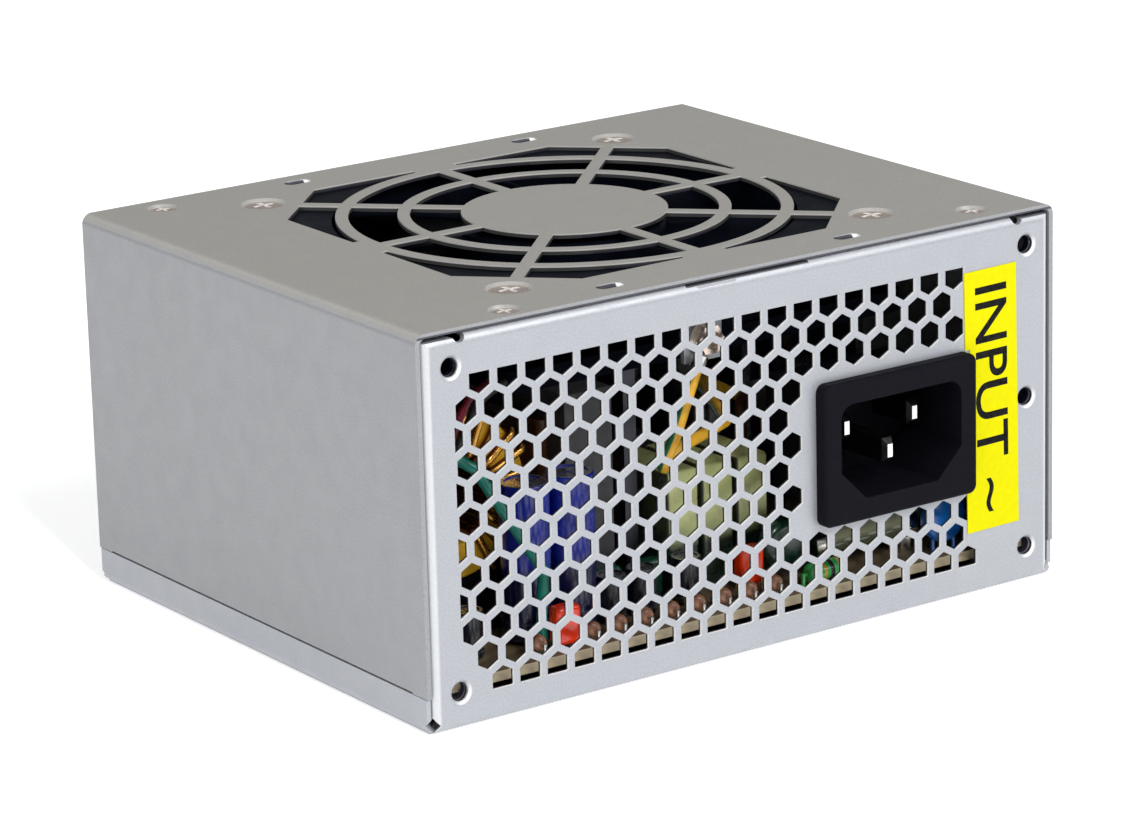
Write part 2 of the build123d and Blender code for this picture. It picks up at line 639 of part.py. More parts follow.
def blade(angle):
    """One twisted, swept blade from inside the hub wall to the tip."""
    sections = []
    for radius, sweep_angle, chord, pitch in BLADE_STATIONS:
        turn = radians(angle + sweep_angle)
        centre = (radius * cos(turn), radius * sin(turn), FAN_LOW + 8.7)
        tangent = (-sin(turn), cos(turn), 0)
        plane = Plane(centre, x_dir=tangent, z_dir=(cos(turn), sin(turn), 0))
        sections.append(plane * Rot(0, 0, pitch) * RectangleRounded(chord, 1.2, 0.5))
    return loft(sections)


def fan_rotor():
    """Hub cup with its seven blades."""
    hub_low = FAN_LOW + 3.8
    hub_top = FAN_TOP - 1.0
    hub = bar((0, 0, hub_low), (0, 0, hub_top), FAN_HUB_R)
    hub = fillet(hub.faces().sort_by(Axis.Z)[-1].edges(), 1.2)
    rotor = hub
    for index in range(BLADE_COUNT):
        rotor += blade(index * 360 / BLADE_COUNT)
    rotor &= bar((0, 0, FAN_LOW), (0, 0, FAN_TOP), BLADE_TIP_R)
    rotor -= bar((0, 0, hub_low - 1), (0, 0, hub_top - 1.4), FAN_HUB_R - 1.5)
    rotor += bar((0, 0, hub_top - 3.0), (0, 0, hub_top - 1.0), 3.4)
    return rotor - bar((0, 0, FAN_LOW), (0, 0, hub_top - 0.9), SHAFT_R)


def fan_shaft():
    """Steel shaft with a groove for its retaining washer."""
    low, width, groove_r = CLIP_GROOVE
    shaft = bar((0, 0, FAN_LOW + 1.5), (0, 0, FAN_TOP - 1.9), SHAFT_R)
    return shaft - tube(0, 0, FAN_LOW + low, FAN_LOW + low + width, groove_r, 2 * SHAFT_R)


def fan_shaft_clip():
    """Slit washer in the shaft's groove, under the bearing."""
    low, width, groove_r = CLIP_GROOVE
    washer = tube(0, 0, FAN_LOW + low, FAN_LOW + low + width, groove_r, 2.4)
    return washer - block(0, 4, -0.25, 0.25, FAN_LOW, FAN_TOP)


def fan_bearing():
    """Sintered sleeve bearing in the frame's tube."""
    return tube(0, 0, FAN_LOW + 3.0, FAN_LOW + 9.6, SHAFT_R + SHAFT_CLEARANCE, BEARING_TUBE_R[0])


def fan_magnet_ring():
    """Ring magnet lining the hub cup."""
    return tube(0, 0, FAN_LOW + 4.2, FAN_LOW + 10.4, 14.1, FAN_HUB_R - 1.5)


def fan_stator_core():
    """Laminated core with four poles."""
    low = FAN_LOW + STATOR_SPAN[0]
    high = FAN_LOW + STATOR_SPAN[1]
    core = bar((0, 0, low), (0, 0, high), 6.8)
    for turn in range(0, 360, 90):
        core += Rot(0, 0, turn) * block(4, 12.5, -POLE_HALF, POLE_HALF, low, high)
    shoes = tube(0, 0, low, high, 11.6, 13.4)
    for turn in range(45, 360, 90):
        shoes -= Rot(0, 0, turn) * block(8, 20, -2.0, 2.0, low - 1, high + 1)
    return core + shoes - bar((0, 0, low - 1), (0, 0, high + 1), BEARING_TUBE_R[1] + TUBE_GAP)


def fan_stator_coils():
    """A winding on each pole."""
    low = FAN_LOW + STATOR_SPAN[0]
    high = FAN_LOW + STATOR_SPAN[1]
    coil = block(7.0, 10.9, -3.4, 3.4, low - 0.9, high + 0.9)
    coil -= block(6, 12, -POLE_HALF, POLE_HALF, low, high)
    coil = coil - bar((0, 0, low - 2), (0, 0, high + 2), 6.85)
    return group([Rot(0, 0, turn) * coil for turn in range(0, 360, 90)])


def fan_circuit_board():
    """Small round board under the coils."""
    return tube(0, 0, FAN_LOW + 2.6, FAN_LOW + 3.4, BEARING_TUBE_R[1] + TUBE_GAP, 13.5)


def fan_lead(offset):
    """One of the fan's two leads, from the frame's corner down to the board plug."""
    plug_x = FAN_PLUG[0] - 1.25 + offset
    route = (
        (-40.2, -37.6 - offset, 50.2),
        (-46.5, -39.6 - offset, 48.6),
        (-53.0, -39.4 - offset, 38.0),
        (-57.0 + offset, -36.6 - offset / 2, 25.0),
        (plug_x, FAN_PLUG[1], 17.0),
        (plug_x, FAN_PLUG[1], FAN_PLUG_TOP),
    )
    return wire(route, 0.65, 1.6)


def fan_plug():
    """Two-way plug on its header."""
    x, y = FAN_PLUG
    header = block(x - 3.2, x + 3.2, y - 2.9, y + 2.9, BOARD_TOP, BOARD_TOP + 2.6)
    plug = block(x - 2.9, x + 2.9, y - 2.2, y + 2.2, BOARD_TOP + 2.6, FAN_PLUG_TOP)
    return group([header, fillet(plug.edges().filter_by(Axis.Z), 0.4)])


# ---------------------------------------------------------------- circuit board
def main_board():
    """The board with its fixing holes."""
    board = block(-BOARD_X, BOARD_X, BOARD_BACK, BOARD_FRONT, BOARD_LOW, BOARD_TOP)
    for x, y in BOARD_FIXINGS:
        board -= bar((x, y, 0), (x, y, 10), 1.7)
    return board


def board_standoffs():
    """Studs between the base and the board."""
    return group([tube(x, y, FLOOR_Z, BOARD_LOW, STUD_BORE_R, STUD_R) for x, y in BOARD_FIXINGS])


def board_screws():
    """Pan-head screws that hold the board down."""
    screws = []
    for x, y in BOARD_FIXINGS:
        head = bar((x, y, BOARD_TOP), (x, y, BOARD_TOP + 1.9), 2.8)
        head = fillet(head.edges().sort_by(Axis.Z)[-1], 0.8)
        screw = head + bar((x, y, 1.4), (x, y, BOARD_TOP), 1.4)
        screws.append(screw - phillips(x, y, BOARD_TOP + 1.9, 1.7, 1.0, 0.7))
    return group(screws)


def insulating_sheet():
    """Thin sheet between the base and the board."""
    sheet = block(-59, 59, -47.5, 46.5, FLOOR_Z, FLOOR_Z + SHEET_INSULATION)
    for x, y in BOARD_FIXINGS:
        sheet -= bar((x, y, 0), (x, y, 10), STUD_R + 0.3)
    return sheet


# ---------------------------------------------------------------- heatsinks and what they cool
def heatsink(x0, x1, y0, y1, fin_side):
    """Upright aluminium plate with bent fingers along its top and two feet on the board."""
    plate = block(x0, x1, y0, y1, HEATSINK_LOW, HEATSINK_TOP)
    fin_root = x1 if fin_side > 0 else x0
    fin_limits = sorted((fin_root, fin_root + fin_side * FINGER_LENGTH))
    plate += block(*fin_limits, y0, y1, HEATSINK_TOP - 1.6, HEATSINK_TOP)
    slot_x = sorted((fin_root - fin_side * 5, fin_root + fin_side * 8))
    count = int((y1 - y0) // FINGER_PITCH)
    for index in range(1, count):
        y = y0 + index * (y1 - y0) / count
        plate -= block(*slot_x, y - 0.9, y + 0.9, HEATSINK_TOP - FINGER_DEPTH, HEATSINK_TOP + 1)
    for y in (y0 + 4, y1 - 4):
        plate += block(x0 + 0.4, x1 - 0.4, y - 1.5, y + 1.5, BOARD_TOP, HEATSINK_LOW)
    return plate


def package(face_x, y, side):
    """Power package against an insulating pad, with three legs down to the board."""
    inner = face_x + side * PAD_THICK
    tab = sorted((inner, inner + side * 1.3))
    body = sorted((inner + side * 0.4, inner + side * 4.6))
    shape = block(*tab, y - 5, y + 5, PACKAGE_Z + 2, PACKAGE_Z + 8.5)
    shape += block(*body, y - 5, y + 5, PACKAGE_Z - 7, PACKAGE_Z + 2.5)
    shape += block(*tab, y - 5, y + 5, PACKAGE_Z - 7, PACKAGE_Z + 2.5)
    shape -= bar((face_x - 9, y, PACKAGE_HOLE_Z), (face_x + 9, y, PACKAGE_HOLE_Z), PACKAGE_HOLE_R)
    leg_x = sorted((inner + side * 2.0, inner + side * 2.6))
    for step in (-LEAD_PITCH, 0, LEAD_PITCH):
        shape += block(*leg_x, y + step - 0.4, y + step + 0.4, BOARD_TOP, PACKAGE_Z - 6.8)
    return shape


def package_pad(face_x, y, side):
    """Insulating pad between a package and its plate."""
    x_limits = sorted((face_x, face_x + side * PAD_THICK))
    pad = block(*x_limits, y - 5.6, y + 5.6, PACKAGE_Z - 8, PACKAGE_Z + 9.2)
    return pad - bar((face_x - 9, y, PACKAGE_HOLE_Z), (face_x + 9, y, PACKAGE_HOLE_Z), PACKAGE_HOLE_R)


def package_screw(face_x, y, side):
    """Pan-head screw through a package into its plate."""
    seat = face_x + side * (PAD_THICK + 1.3)
    screw = bar((face_x, y, PACKAGE_HOLE_Z), (seat, y, PACKAGE_HOLE_Z), 1.45)
    return screw + bar((seat, y, PACKAGE_HOLE_Z), (seat + side * 1.8, y, PACKAGE_HOLE_Z), 2.7)


def rectifier_packages():
    """Output rectifiers on the secondary heatsink."""
    return group([package(SECONDARY_SINK[0], y, -1) for y in RECTIFIER_Y])


def switching_transistors():
    """Two switches on the primary heatsink."""
    return group([package(PRIMARY_SINK[1], y, 1) for y in SWITCH_Y])


def insulator_pads():
    """A pad under every package."""
    pads = [package_pad(SECONDARY_SINK[0], y, -1) for y in RECTIFIER_Y]
    return group(pads + [package_pad(PRIMARY_SINK[1], y, 1) for y in SWITCH_Y])


def package_screws():
    """A screw through every package."""
    screws = [package_screw(SECONDARY_SINK[0], y, -1) for y in RECTIFIER_Y]
    return group(screws + [package_screw(PRIMARY_SINK[1], y, 1) for y in SWITCH_Y])


# ---------------------------------------------------------------- wound parts
def e_core(limits, leg, window):
    """A pair of E-shaped ferrites: outer frame with a centre leg, drawn in Y and Z."""
    x0, x1, y0, y1, z0, z1 = limits
    inset = (x1 - x0) * 0.12
    core = block(x0 + inset, x1 - inset, y0, y1, z0, z1)
    for low, high in ((y0 + leg, y0 + leg + window), (y1 - leg - window, y1 - leg)):
        core -= block(x0 - 1, x1 + 1, low, high, z0 + leg, z1 - leg)
    return core


def core_winding(limits, leg, window):
    """Taped winding around the centre leg, filling both windows."""
    x0, x1, y0, y1, z0, z1 = limits
    inset = (x1 - x0) * 0.12
    coil = block(x0, x1, y0 + leg, y1 - leg, z0 + leg, z1 - leg)
    coil = fillet(coil.edges().filter_by(Axis.Z), (x1 - x0) * 0.1)
    centre = block(x0 + inset, x1 - inset, y0 + leg + window, y1 - leg - window, z0, z1)
    return coil - centre


def transformer_base(limits):
    """Bobbin foot with pins into the board."""
    x0, x1, y0, y1, z0, _ = limits
    foot = block(x0, x1, y0 + 1, y1 - 1, BOARD_TOP + 0.8, z0)
    for x in (x0 + 1.2, x1 - 1.2):
        steps = int((y1 - y0 - 4) // 4)
        for index in range(steps + 1):
            y = y0 + 2.5 + index * (y1 - y0 - 5) / steps
            foot += bar((x, y, BOARD_TOP), (x, y, BOARD_TOP + 1.2), 0.45)
    return foot


def transformer_bases():
    """Bobbin feet of both transformers."""
    return group([transformer_base(MAIN_TRANSFORMER), transformer_base(STANDBY_TRANSFORMER)])


def ring_core(core):
    """Round-cornered ring core about the Z axis."""
    outer, inner, width = core
    ring = bar((0, 0, -width / 2), (0, 0, width / 2), outer) - bar((0, 0, -width), (0, 0, width), inner)
    return fillet(ring.edges().filter_by(GeomType.CIRCLE), 0.8)


def ring_turn(core, wire_r, angle):
    """One closed turn of wire about a ring core, standing just clear of it."""
    outer, inner, width = core
    gap = wire_r + 0.04
    height = width + 2 * gap
    span = outer - inner + 2 * gap
    centre = (outer + inner) / 2
    path = Wire(RectangleRounded(span, height, gap + 0.6).edges())
    path = Plane((centre, 0, 0), x_dir=(1, 0, 0), z_dir=(0, -1, 0)) * path
    turn = sweep(Plane(path @ 0, z_dir=path % 0) * Circle(wire_r), path=path)
    return Rot(0, 0, angle) * turn


def output_choke_core():
    """Ring core of the output choke, standing on its edge."""
    return Pos(*CHOKE_AT) * Rot(90, 0, 0) * ring_core(CHOKE_CORE)


def output_choke_windings():
    """Copper turns spread around the ring, leaving its foot bare."""
    first, last = CHOKE_SPREAD
    angles = [first + (last - first) * index / (CHOKE_TURNS - 1) for index in range(CHOKE_TURNS)]
    turns = [ring_turn(CHOKE_CORE, CHOKE_WIRE_R, angle) for angle in angles]
    return group([Pos(*CHOKE_AT) * Rot(90, 0, 0) * turn for turn in turns])


def output_choke_cradle():
    """Moulded foot under the ring."""
    x, y, z = CHOKE_AT
    foot_half, neck_half, depth_half = CRADLE_HALF
    cradle = block(x - foot_half, x + foot_half, y - depth_half, y + depth_half, BOARD_TOP, CRADLE_FOOT_Z)
    cradle += block(x - neck_half, x + neck_half, y - depth_half, y + depth_half, BOARD_TOP, z - 11)
    return cradle - bar((x, y - 9, z), (x, y + 9, z), CHOKE_CORE[0] + 0.05)


def filter_choke_core():
    """Ring core of the mains filter choke, lying flat."""
    return Pos(*FILTER_AT) * ring_core(FILTER_CORE)


def filter_choke_windings():
    """Two opposite windings of enamelled wire."""
    step = 2 * FILTER_SPREAD / (FILTER_TURNS - 1)
    spread = [step * index - FILTER_SPREAD for index in range(FILTER_TURNS)]
    angles = spread + [180 + angle for angle in spread]
    return group([Pos(*FILTER_AT) * ring_turn(FILTER_CORE, FILTER_WIRE_R, angle) for angle in angles])


# ---------------------------------------------------------------- capacitors and small parts
def can(x, y, radius, height):
    """Electrolytic capacitor: crimped sleeve, shallow rim and a scored top."""
    low = BOARD_TOP + 0.4
    high = low + height
    body = bar((x, y, low), (x, y, high), radius)
    body = fillet(body.edges().filter_by(GeomType.CIRCLE), 0.1 * radius)
    body -= tube(x, y, low + 0.12 * height, low + 0.12 * height + 1.2, radius - 0.35, radius + 1)
    body -= bar((x, y, high - 0.25), (x, y, high + 1), radius * 0.78)
    for turn in (0, 90):
        score = Pos(x, y, high - 0.3) * Rot(0, 0, turn) * Box(1.1 * radius, 0.25, 0.3)
        body -= score
    for side in (-1, 1):
        body += bar((x + side * 0.4 * radius, y, BOARD_TOP), (x + side * 0.4 * radius, y, low + 0.2), 0.35)
    return body


def can_group(places, radius, height):
    """Equal capacitors in one node."""
    return group([can(x, y, radius, height) for x, y in places])


def x_capacitors():
    """Moulded suppression capacitors, side by side."""
    boxes = []
    back, front, top = X_CAPACITOR_LIMITS
    for x in X_CAPACITORS:
        body = block(x - 3.1, x + 3.1, back, front, BOARD_TOP + 0.6, top)
        body = fillet(body.edges(), 0.7)
        for y in (back + 3, front - 3):
            body += bar((x, y, BOARD_TOP), (x, y, BOARD_TOP + 1.0), 0.4)
        boxes.append(body)
    return group(boxes)


def dipped_disc(x, y, z, radius, thick):
    """Coated disc on two legs, facing the rear panel."""
    disc = bar((x, y - thick / 2, z), (x, y + thick / 2, z), radius)
    disc = fillet(disc.edges().filter_by(GeomType.CIRCLE), 0.42 * thick)
    for side in (-1, 1):
        disc += bar((x + side * 2.2, y, BOARD_TOP), (x + side * 2.2, y, z - 0.7 * radius), 0.35)
    return disc


def y_capacitors():
    """Two coated discs near the inlet."""
    return group([dipped_disc(x, y, z, *Y_CAPACITOR_SIZE) for x, y, z in Y_CAPACITORS])


def thermistor():
    """Inrush limiter."""
    return dipped_disc(*THERMISTOR, *THERMISTOR_SIZE)


def film_capacitors(places, z_high):
    """Small dipped film capacitors."""
    bodies = []
    for x, y in places:
        body = block(x - 2.4, x + 2.4, y - 1.4, y + 1.4, BOARD_TOP + 1.0, z_high)
        body = fillet(body.edges(), 0.9)
        for side in (-1, 1):
            body += bar((x + side * 1.3, y, BOARD_TOP), (x + side * 1.3, y, BOARD_TOP + 2.2), 0.3)
        bodies.append(body)
    return group(bodies)


def axial_body(start, end, radius, lead_r):
    """Axial part lying near the board: swollen ends, a slimmer waist and two legs."""
    run = Vector(*end) - Vector(*start)
    step = run.normalized()
    first = Vector(*start)
    last = Vector(*end)
    body = bar(start, end, radius)
    body = fillet(body.edges().filter_by(GeomType.CIRCLE), 0.6 * radius)
    waist_low = tuple(first + step * 1.5 * radius)
    waist_high = tuple(last - step * 1.5 * radius)
    if run.length > 4 * radius:
        body -= bar(waist_low, waist_high, 2 * radius) - bar(start, end, 0.88 * radius)
    for point, out in ((first, step * -0.7), (last, step * 0.7)):
        outer = point + out
        body += bar(tuple(point - out), tuple(outer + out.normalized() * lead_r), lead_r)
        body += bar((outer.X, outer.Y, BOARD_TOP), (outer.X, outer.Y, outer.Z + 0.9 * lead_r), lead_r)
    return body


def resistors():
    """A row of axial resistors along the board's rear edge."""
    z = BOARD_TOP + 2.2
    bodies = []
    for index in range(RESISTOR_COUNT):
        if index != RESISTOR_SKIPPED:
            x = RESISTOR_FIRST_X + index * RESISTOR_PITCH
            bodies.append(axial_body((x, RESISTOR_Y[0], z), (x, RESISTOR_Y[1], z), 1.3, 0.28))
    return group(bodies)


def inductor():
    """Axial choke beside the inlet."""
    low, high = INDUCTOR_X
    return axial_body((low, INDUCTOR_Y, INDUCTOR_Z), (high, INDUCTOR_Y, INDUCTOR_Z), 1.7, 0.35)


def fuse_glass():
    """Glass tube of the fuse."""
    return bar((FUSE_X[1], FUSE_Y, FUSE_Z), (FUSE_X[2], FUSE_Y, FUSE_Z), FUSE_R)


def fuse_caps():
    """End caps with the clips that hold them to the board."""
    caps = []
    for low, high in (FUSE_X[:2], FUSE_X[2:]):
        clip = bar((low, FUSE_Y, FUSE_Z), (high, FUSE_Y, FUSE_Z), FUSE_R + 0.2)
        clip += block(low + 0.5, high - 0.5, FUSE_Y - 1.2, FUSE_Y + 1.2, BOARD_TOP, FUSE_Z)
        caps.append(clip)
    return group(caps)


def bridge_rectifier():
    """Flat four-legged package."""
    body = block(*BRIDGE_X, *BRIDGE_Y, *BRIDGE_Z)
    body = chamfer(body.edges().filter_by(Axis.Y).sort_by(Axis.X)[-1], 2.0)
    middle = sum(BRIDGE_Y) / 2
    for index in range(4):
        x = BRIDGE_X[0] + 2.0 + 4.5 * index
        body += block(x - 0.6, x + 0.6, middle - 0.3, middle + 0.3, BOARD_TOP, BRIDGE_Z[0] + 0.5)
    return body


def control_chips():
    """Two dual-in-line circuits."""
    chips = []
    for x, y, pins in CHIPS:
        length = pins * LEAD_PITCH
        chip = block(x - length / 2, x + length / 2, y - 3.2, y + 3.2, BOARD_TOP + 0.6, BOARD_TOP + 3.9)
        for index in range(pins):
            pin_x = x - length / 2 + LEAD_PITCH * (index + 0.5)
            chip += block(pin_x - 0.3, pin_x + 0.3, y - 4.0, y + 4.0, BOARD_TOP + 1.6, BOARD_TOP + 1.9)
            for side in (-1, 1):
                y_limits = sorted((y + side * 3.75, y + side * 4.0))
                chip += block(pin_x - 0.3, pin_x + 0.3, *y_limits, BOARD_TOP, BOARD_TOP + 1.9)
        chips.append(chip)
    return group(chips)


def small_transistors():
    """Three-legged packages with one flat face."""
    bodies = []
    for x, y in TRANSISTORS:
        body = bar((x, y, BOARD_TOP + 2), (x, y, BOARD_TOP + 6.6), 2.3)
        body -= block(x - 3, x + 3, y + 1.4, y + 4, BOARD_TOP, 20)
        for step in (-LEAD_PITCH / 2, 0, LEAD_PITCH / 2):
            body += block(x + step - 0.22, x + step + 0.22, y - 0.2, y + 0.2, BOARD_TOP, BOARD_TOP + 2.2)
        bodies.append(body)
    return group(bodies)


def sleeved_jumper():
    """Sleeved lead that rises over the rear corner of the board."""
    route = (
        (-36.4, -42.9, BOARD_TOP),
        (-36.4, -42.9, 11.0),
        (-38.4, -46.6, 21.0),
        (-50.4, -46.6, 39.6),
        (-56.4, -44.0, 44.0),
        (-59.7, -35.0, 43.0),
        (-59.7, -15.6, 34.0),
        (-57.8, -15.8, 22.0),
        (-57.8, -15.8, BOARD_TOP),
    )
    return wire(route, 0.9, 1.9)


def cable_bushing():
    """Round snap-in bushing that lines the cable outlet."""
    y_face = FRONT_Y
    bush = bar((OUTLET_X, y_face - 4.0, OUTLET_Z), (OUTLET_X, y_face, OUTLET_Z), OUTLET_HOLE_R - 0.05)
    y_end = y_face + OUTLET_FLANGE
    flange = bar((OUTLET_X, y_face, OUTLET_Z), (OUTLET_X, y_end, OUTLET_Z), OUTLET_FLANGE_R)
    bush += fillet(flange.faces().sort_by(Axis.Y)[-1].edges(), 0.8)
    barb_low = y_face - SHEET - 1.6
    barb = bar((OUTLET_X, barb_low, OUTLET_Z), (OUTLET_X, barb_low + 1.5, OUTLET_Z), OUTLET_HOLE_R + 0.7)
    bush += barb
    bush -= bar((OUTLET_X, y_face - 6, OUTLET_Z), (OUTLET_X, y_face + 3, OUTLET_Z), OUTLET_BORE_R)
    for turn in (45, 135):
        slit = Pos(OUTLET_X, y_face - 3.6, OUTLET_Z) * Rot(0, turn, 0) * Box(30, 4.0, 1.2)
        bush -= slit
    return bush


# ---------------------------------------------------------------- output
NODES = {
    "base_chassis": base_chassis(),
    "top_cover": top_cover(),
    "cover_screws": cover_screws(),
    "fan_screws": fan_screws(),
    "voltage_label": voltage_label(),
    "inlet_housing": inlet_housing(),
    "inlet_blades": inlet_blades(),
    "terminal_sleeves": terminal_sleeves(),
    "live_wire": mains_wire(pin_places()[0], MAINS_WIRE_FOOT_Y),
    "neutral_wire": mains_wire(pin_places()[1], MAINS_WIRE_FOOT_Y),
    "earth_wire": earth_wire(),
    "earth_ring_terminal": earth_ring_terminal(),
    "earth_screw": earth_screw(),
    "fan_frame": fan_frame(),
    "fan_rotor": fan_rotor(),
    "fan_shaft": fan_shaft(),
    "fan_shaft_clip": fan_shaft_clip(),
    "fan_bearing": fan_bearing(),
    "fan_magnet_ring": fan_magnet_ring(),
    "fan_stator_core": fan_stator_core(),
    "fan_stator_coils": fan_stator_coils(),
    "fan_circuit_board": fan_circuit_board(),
    "fan_lead_red": fan_lead(0.0),
    "fan_lead_black": fan_lead(2.5),
    "fan_plug": fan_plug(),
    "main_board": main_board(),
    "board_standoffs": board_standoffs(),
    "board_screws": board_screws(),
    "insulating_sheet": insulating_sheet(),
    "secondary_heatsink": heatsink(*SECONDARY_SINK, 1),
    "primary_heatsink": heatsink(*PRIMARY_SINK, 1),
    "rectifier_packages": rectifier_packages(),
    "switching_transistors": switching_transistors(),
    "insulator_pads": insulator_pads(),
    "package_screws": package_screws(),
    "main_transformer_core": e_core(MAIN_TRANSFORMER, MAIN_LEG, MAIN_WINDOW),
    "main_transformer_winding": core_winding(MAIN_TRANSFORMER, MAIN_LEG, MAIN_WINDOW),
    "standby_transformer_core": e_core(STANDBY_TRANSFORMER, STANDBY_LEG, STANDBY_WINDOW),
    "standby_transformer_winding": core_winding(STANDBY_TRANSFORMER, STANDBY_LEG, STANDBY_WINDOW),
    "transformer_bases": transformer_bases(),
    "output_choke_core": output_choke_core(),
    "output_choke_windings": output_choke_windings(),
    "output_choke_cradle": output_choke_cradle(),
    "filter_choke_core": filter_choke_core(),
    "filter_choke_windings": filter_choke_windings(),
    "bulk_capacitors": can_group(BULK_CAPACITORS, BULK_R, BULK_HEIGHT),
    "blue_capacitors": can_group(BLUE_CAPACITORS, BLUE_R, BLUE_HEIGHT),
    "output_capacitors": can_group(OUTPUT_CAPACITORS, OUTPUT_R, OUTPUT_HEIGHT),
    "small_capacitors": can_group(SMALL_CAPACITORS, SMALL_R, SMALL_HEIGHT),
    "x_capacitors": x_capacitors(),
    "y_capacitors": y_capacitors(),
    "film_capacitors": film_capacitors(RED_CAPACITORS + GREEN_CAPACITORS, FILM_CAPACITOR_TOP),
    "thermistor": thermistor(),
    "resistors": resistors(),
    "inductor": inductor(),
    "fuse": group([fuse_glass(), fuse_caps()]),
    "bridge_rectifier": bridge_rectifier(),
    "small_semiconductors": group([control_chips(), small_transistors()]),
    "sleeved_jumper": sleeved_jumper(),
    "cable_bushing": cable_bushing(),
}

os.makedirs("parts", exist_ok=True)
for name, shape in NODES.items():
    export_step(shape, f"parts/{name}.step")
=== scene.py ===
"""Looks of a compact computer power supply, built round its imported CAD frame.

Metres, +Z up. The rear panel, with the vent and the mains inlet, faces -Y.
"""
import json
import math

import bmesh
import bpy
from mathutils import Matrix, Quaternion, Vector


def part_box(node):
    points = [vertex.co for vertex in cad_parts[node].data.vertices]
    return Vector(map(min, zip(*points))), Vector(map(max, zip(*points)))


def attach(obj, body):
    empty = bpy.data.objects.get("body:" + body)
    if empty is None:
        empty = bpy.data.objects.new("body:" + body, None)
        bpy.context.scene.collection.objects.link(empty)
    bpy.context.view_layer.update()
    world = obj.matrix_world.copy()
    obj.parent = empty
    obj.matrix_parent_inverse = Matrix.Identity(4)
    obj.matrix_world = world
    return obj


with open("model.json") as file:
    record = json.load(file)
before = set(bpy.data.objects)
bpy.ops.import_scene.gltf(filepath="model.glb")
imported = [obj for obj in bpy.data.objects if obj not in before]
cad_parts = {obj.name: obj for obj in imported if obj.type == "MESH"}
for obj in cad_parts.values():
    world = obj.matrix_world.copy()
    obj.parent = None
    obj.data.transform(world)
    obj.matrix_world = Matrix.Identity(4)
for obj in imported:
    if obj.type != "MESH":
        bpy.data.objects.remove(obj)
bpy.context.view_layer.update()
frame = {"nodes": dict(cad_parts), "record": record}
NODES = frame["nodes"]
MM = 0.001

# Places on the case, as the CAD has them.
REAR_Y = -50.0 * MM                 # outer face of the rear panel
TOP_Z = 63.5 * MM                   # outer face of the cover
HALF_HEIGHT = TOP_Z / 2
VENT_X = (-56.4 * MM, 47.5 * MM)    # the field of vent holes
VENT_Z = (4.9 * MM, 56.2 * MM)
VENT_DEPTH = 0.9 * MM               # just past the thickness of the sheet
VENT_LIT_LIP = 0.44 * MM                # bare cut part of a hole's wall, painted white as a highlight
FIX_X = 56.5 * MM                   # rear screw holes, from the middle of the panel
FIX_RISE = 25.75 * MM               # the corner ones, above and below the middle height
FIX_MOUTH_R = 2.6 * MM
FIX_THROAT_R = 1.56 * MM
FIX_CLEAR_R = 2.8 * MM              # the painted highlight on the bends keeps this far from a hole
FIX_COLLAR_END = REAR_Y + 4.0 * MM
THREAD_PITCH = 0.79 * MM
THREAD_DIM_Y = REAR_Y + 1.3 * MM    # turns further in than this are in the dark
GRILLE_HALF = 39.6 * MM             # the grille's openings lie in a square of this half width
# the grille's lip down to this depth is painted as a highlight, its wall below as shade
GRILLE_LIT_LIP = 0.23 * MM
DENT_X, DENT_Y = 23.3 * MM, 45.0 * MM
DENT_REACH_X, DENT_REACH_Y = 2.7 * MM, 1.35 * MM
DENT_SUNK = 0.10 * MM
SHADED_EDGE_Z = (62.6 * MM, 62.98 * MM) # the cover's cut edge above the rear panel, painted dark as the shade of the gap
RECESS_Z = (62.2 * MM, 62.9 * MM)   # floor of a screw's cross recess, painted dark as shade
INLET_LEFT_X = 18 * MM              # the blades are on the +X side of this, the earth ring is not
FUSE_X = 29.0 * MM
FUSE_GLASS_HALF = 7.5 * MM
FUSE_CLIP_TOP = 9.0 * MM
SLEEVE_FOOT_Z = 18.5 * MM           # the foot of a sleeved capacitor is in the dark
CASE_FOOT_Z = 16.5 * MM             # and so is the foot of a suppression capacitor
GREEN_FILM_X = (-21 * MM, -7 * MM)  # the film capacitors between these are green
RESISTOR_FIRST_X = 41.2 * MM        # the row starts this far on the -X side
RESISTOR_PITCH = 5.15 * MM
RESISTOR_MIDDLE = 44.3 * MM         # the row's distance from the middle, towards the vent
RESISTOR_HALF_BODY = 2.05 * MM
RESISTOR_BAND_Y = -45.35 * MM       # the first of the four colour bands
RESISTOR_FOOT_Z = 7.3 * MM          # the legs are below this
PRINT_PLACE = (49.0 * MM, 32.9 * MM)  # X and Z of the middle of the label's print
PRINT_SIZE = (38.5 * MM, 6.7 * MM)    # along the label and across it
PRINT_TILT = math.radians(-0.9)


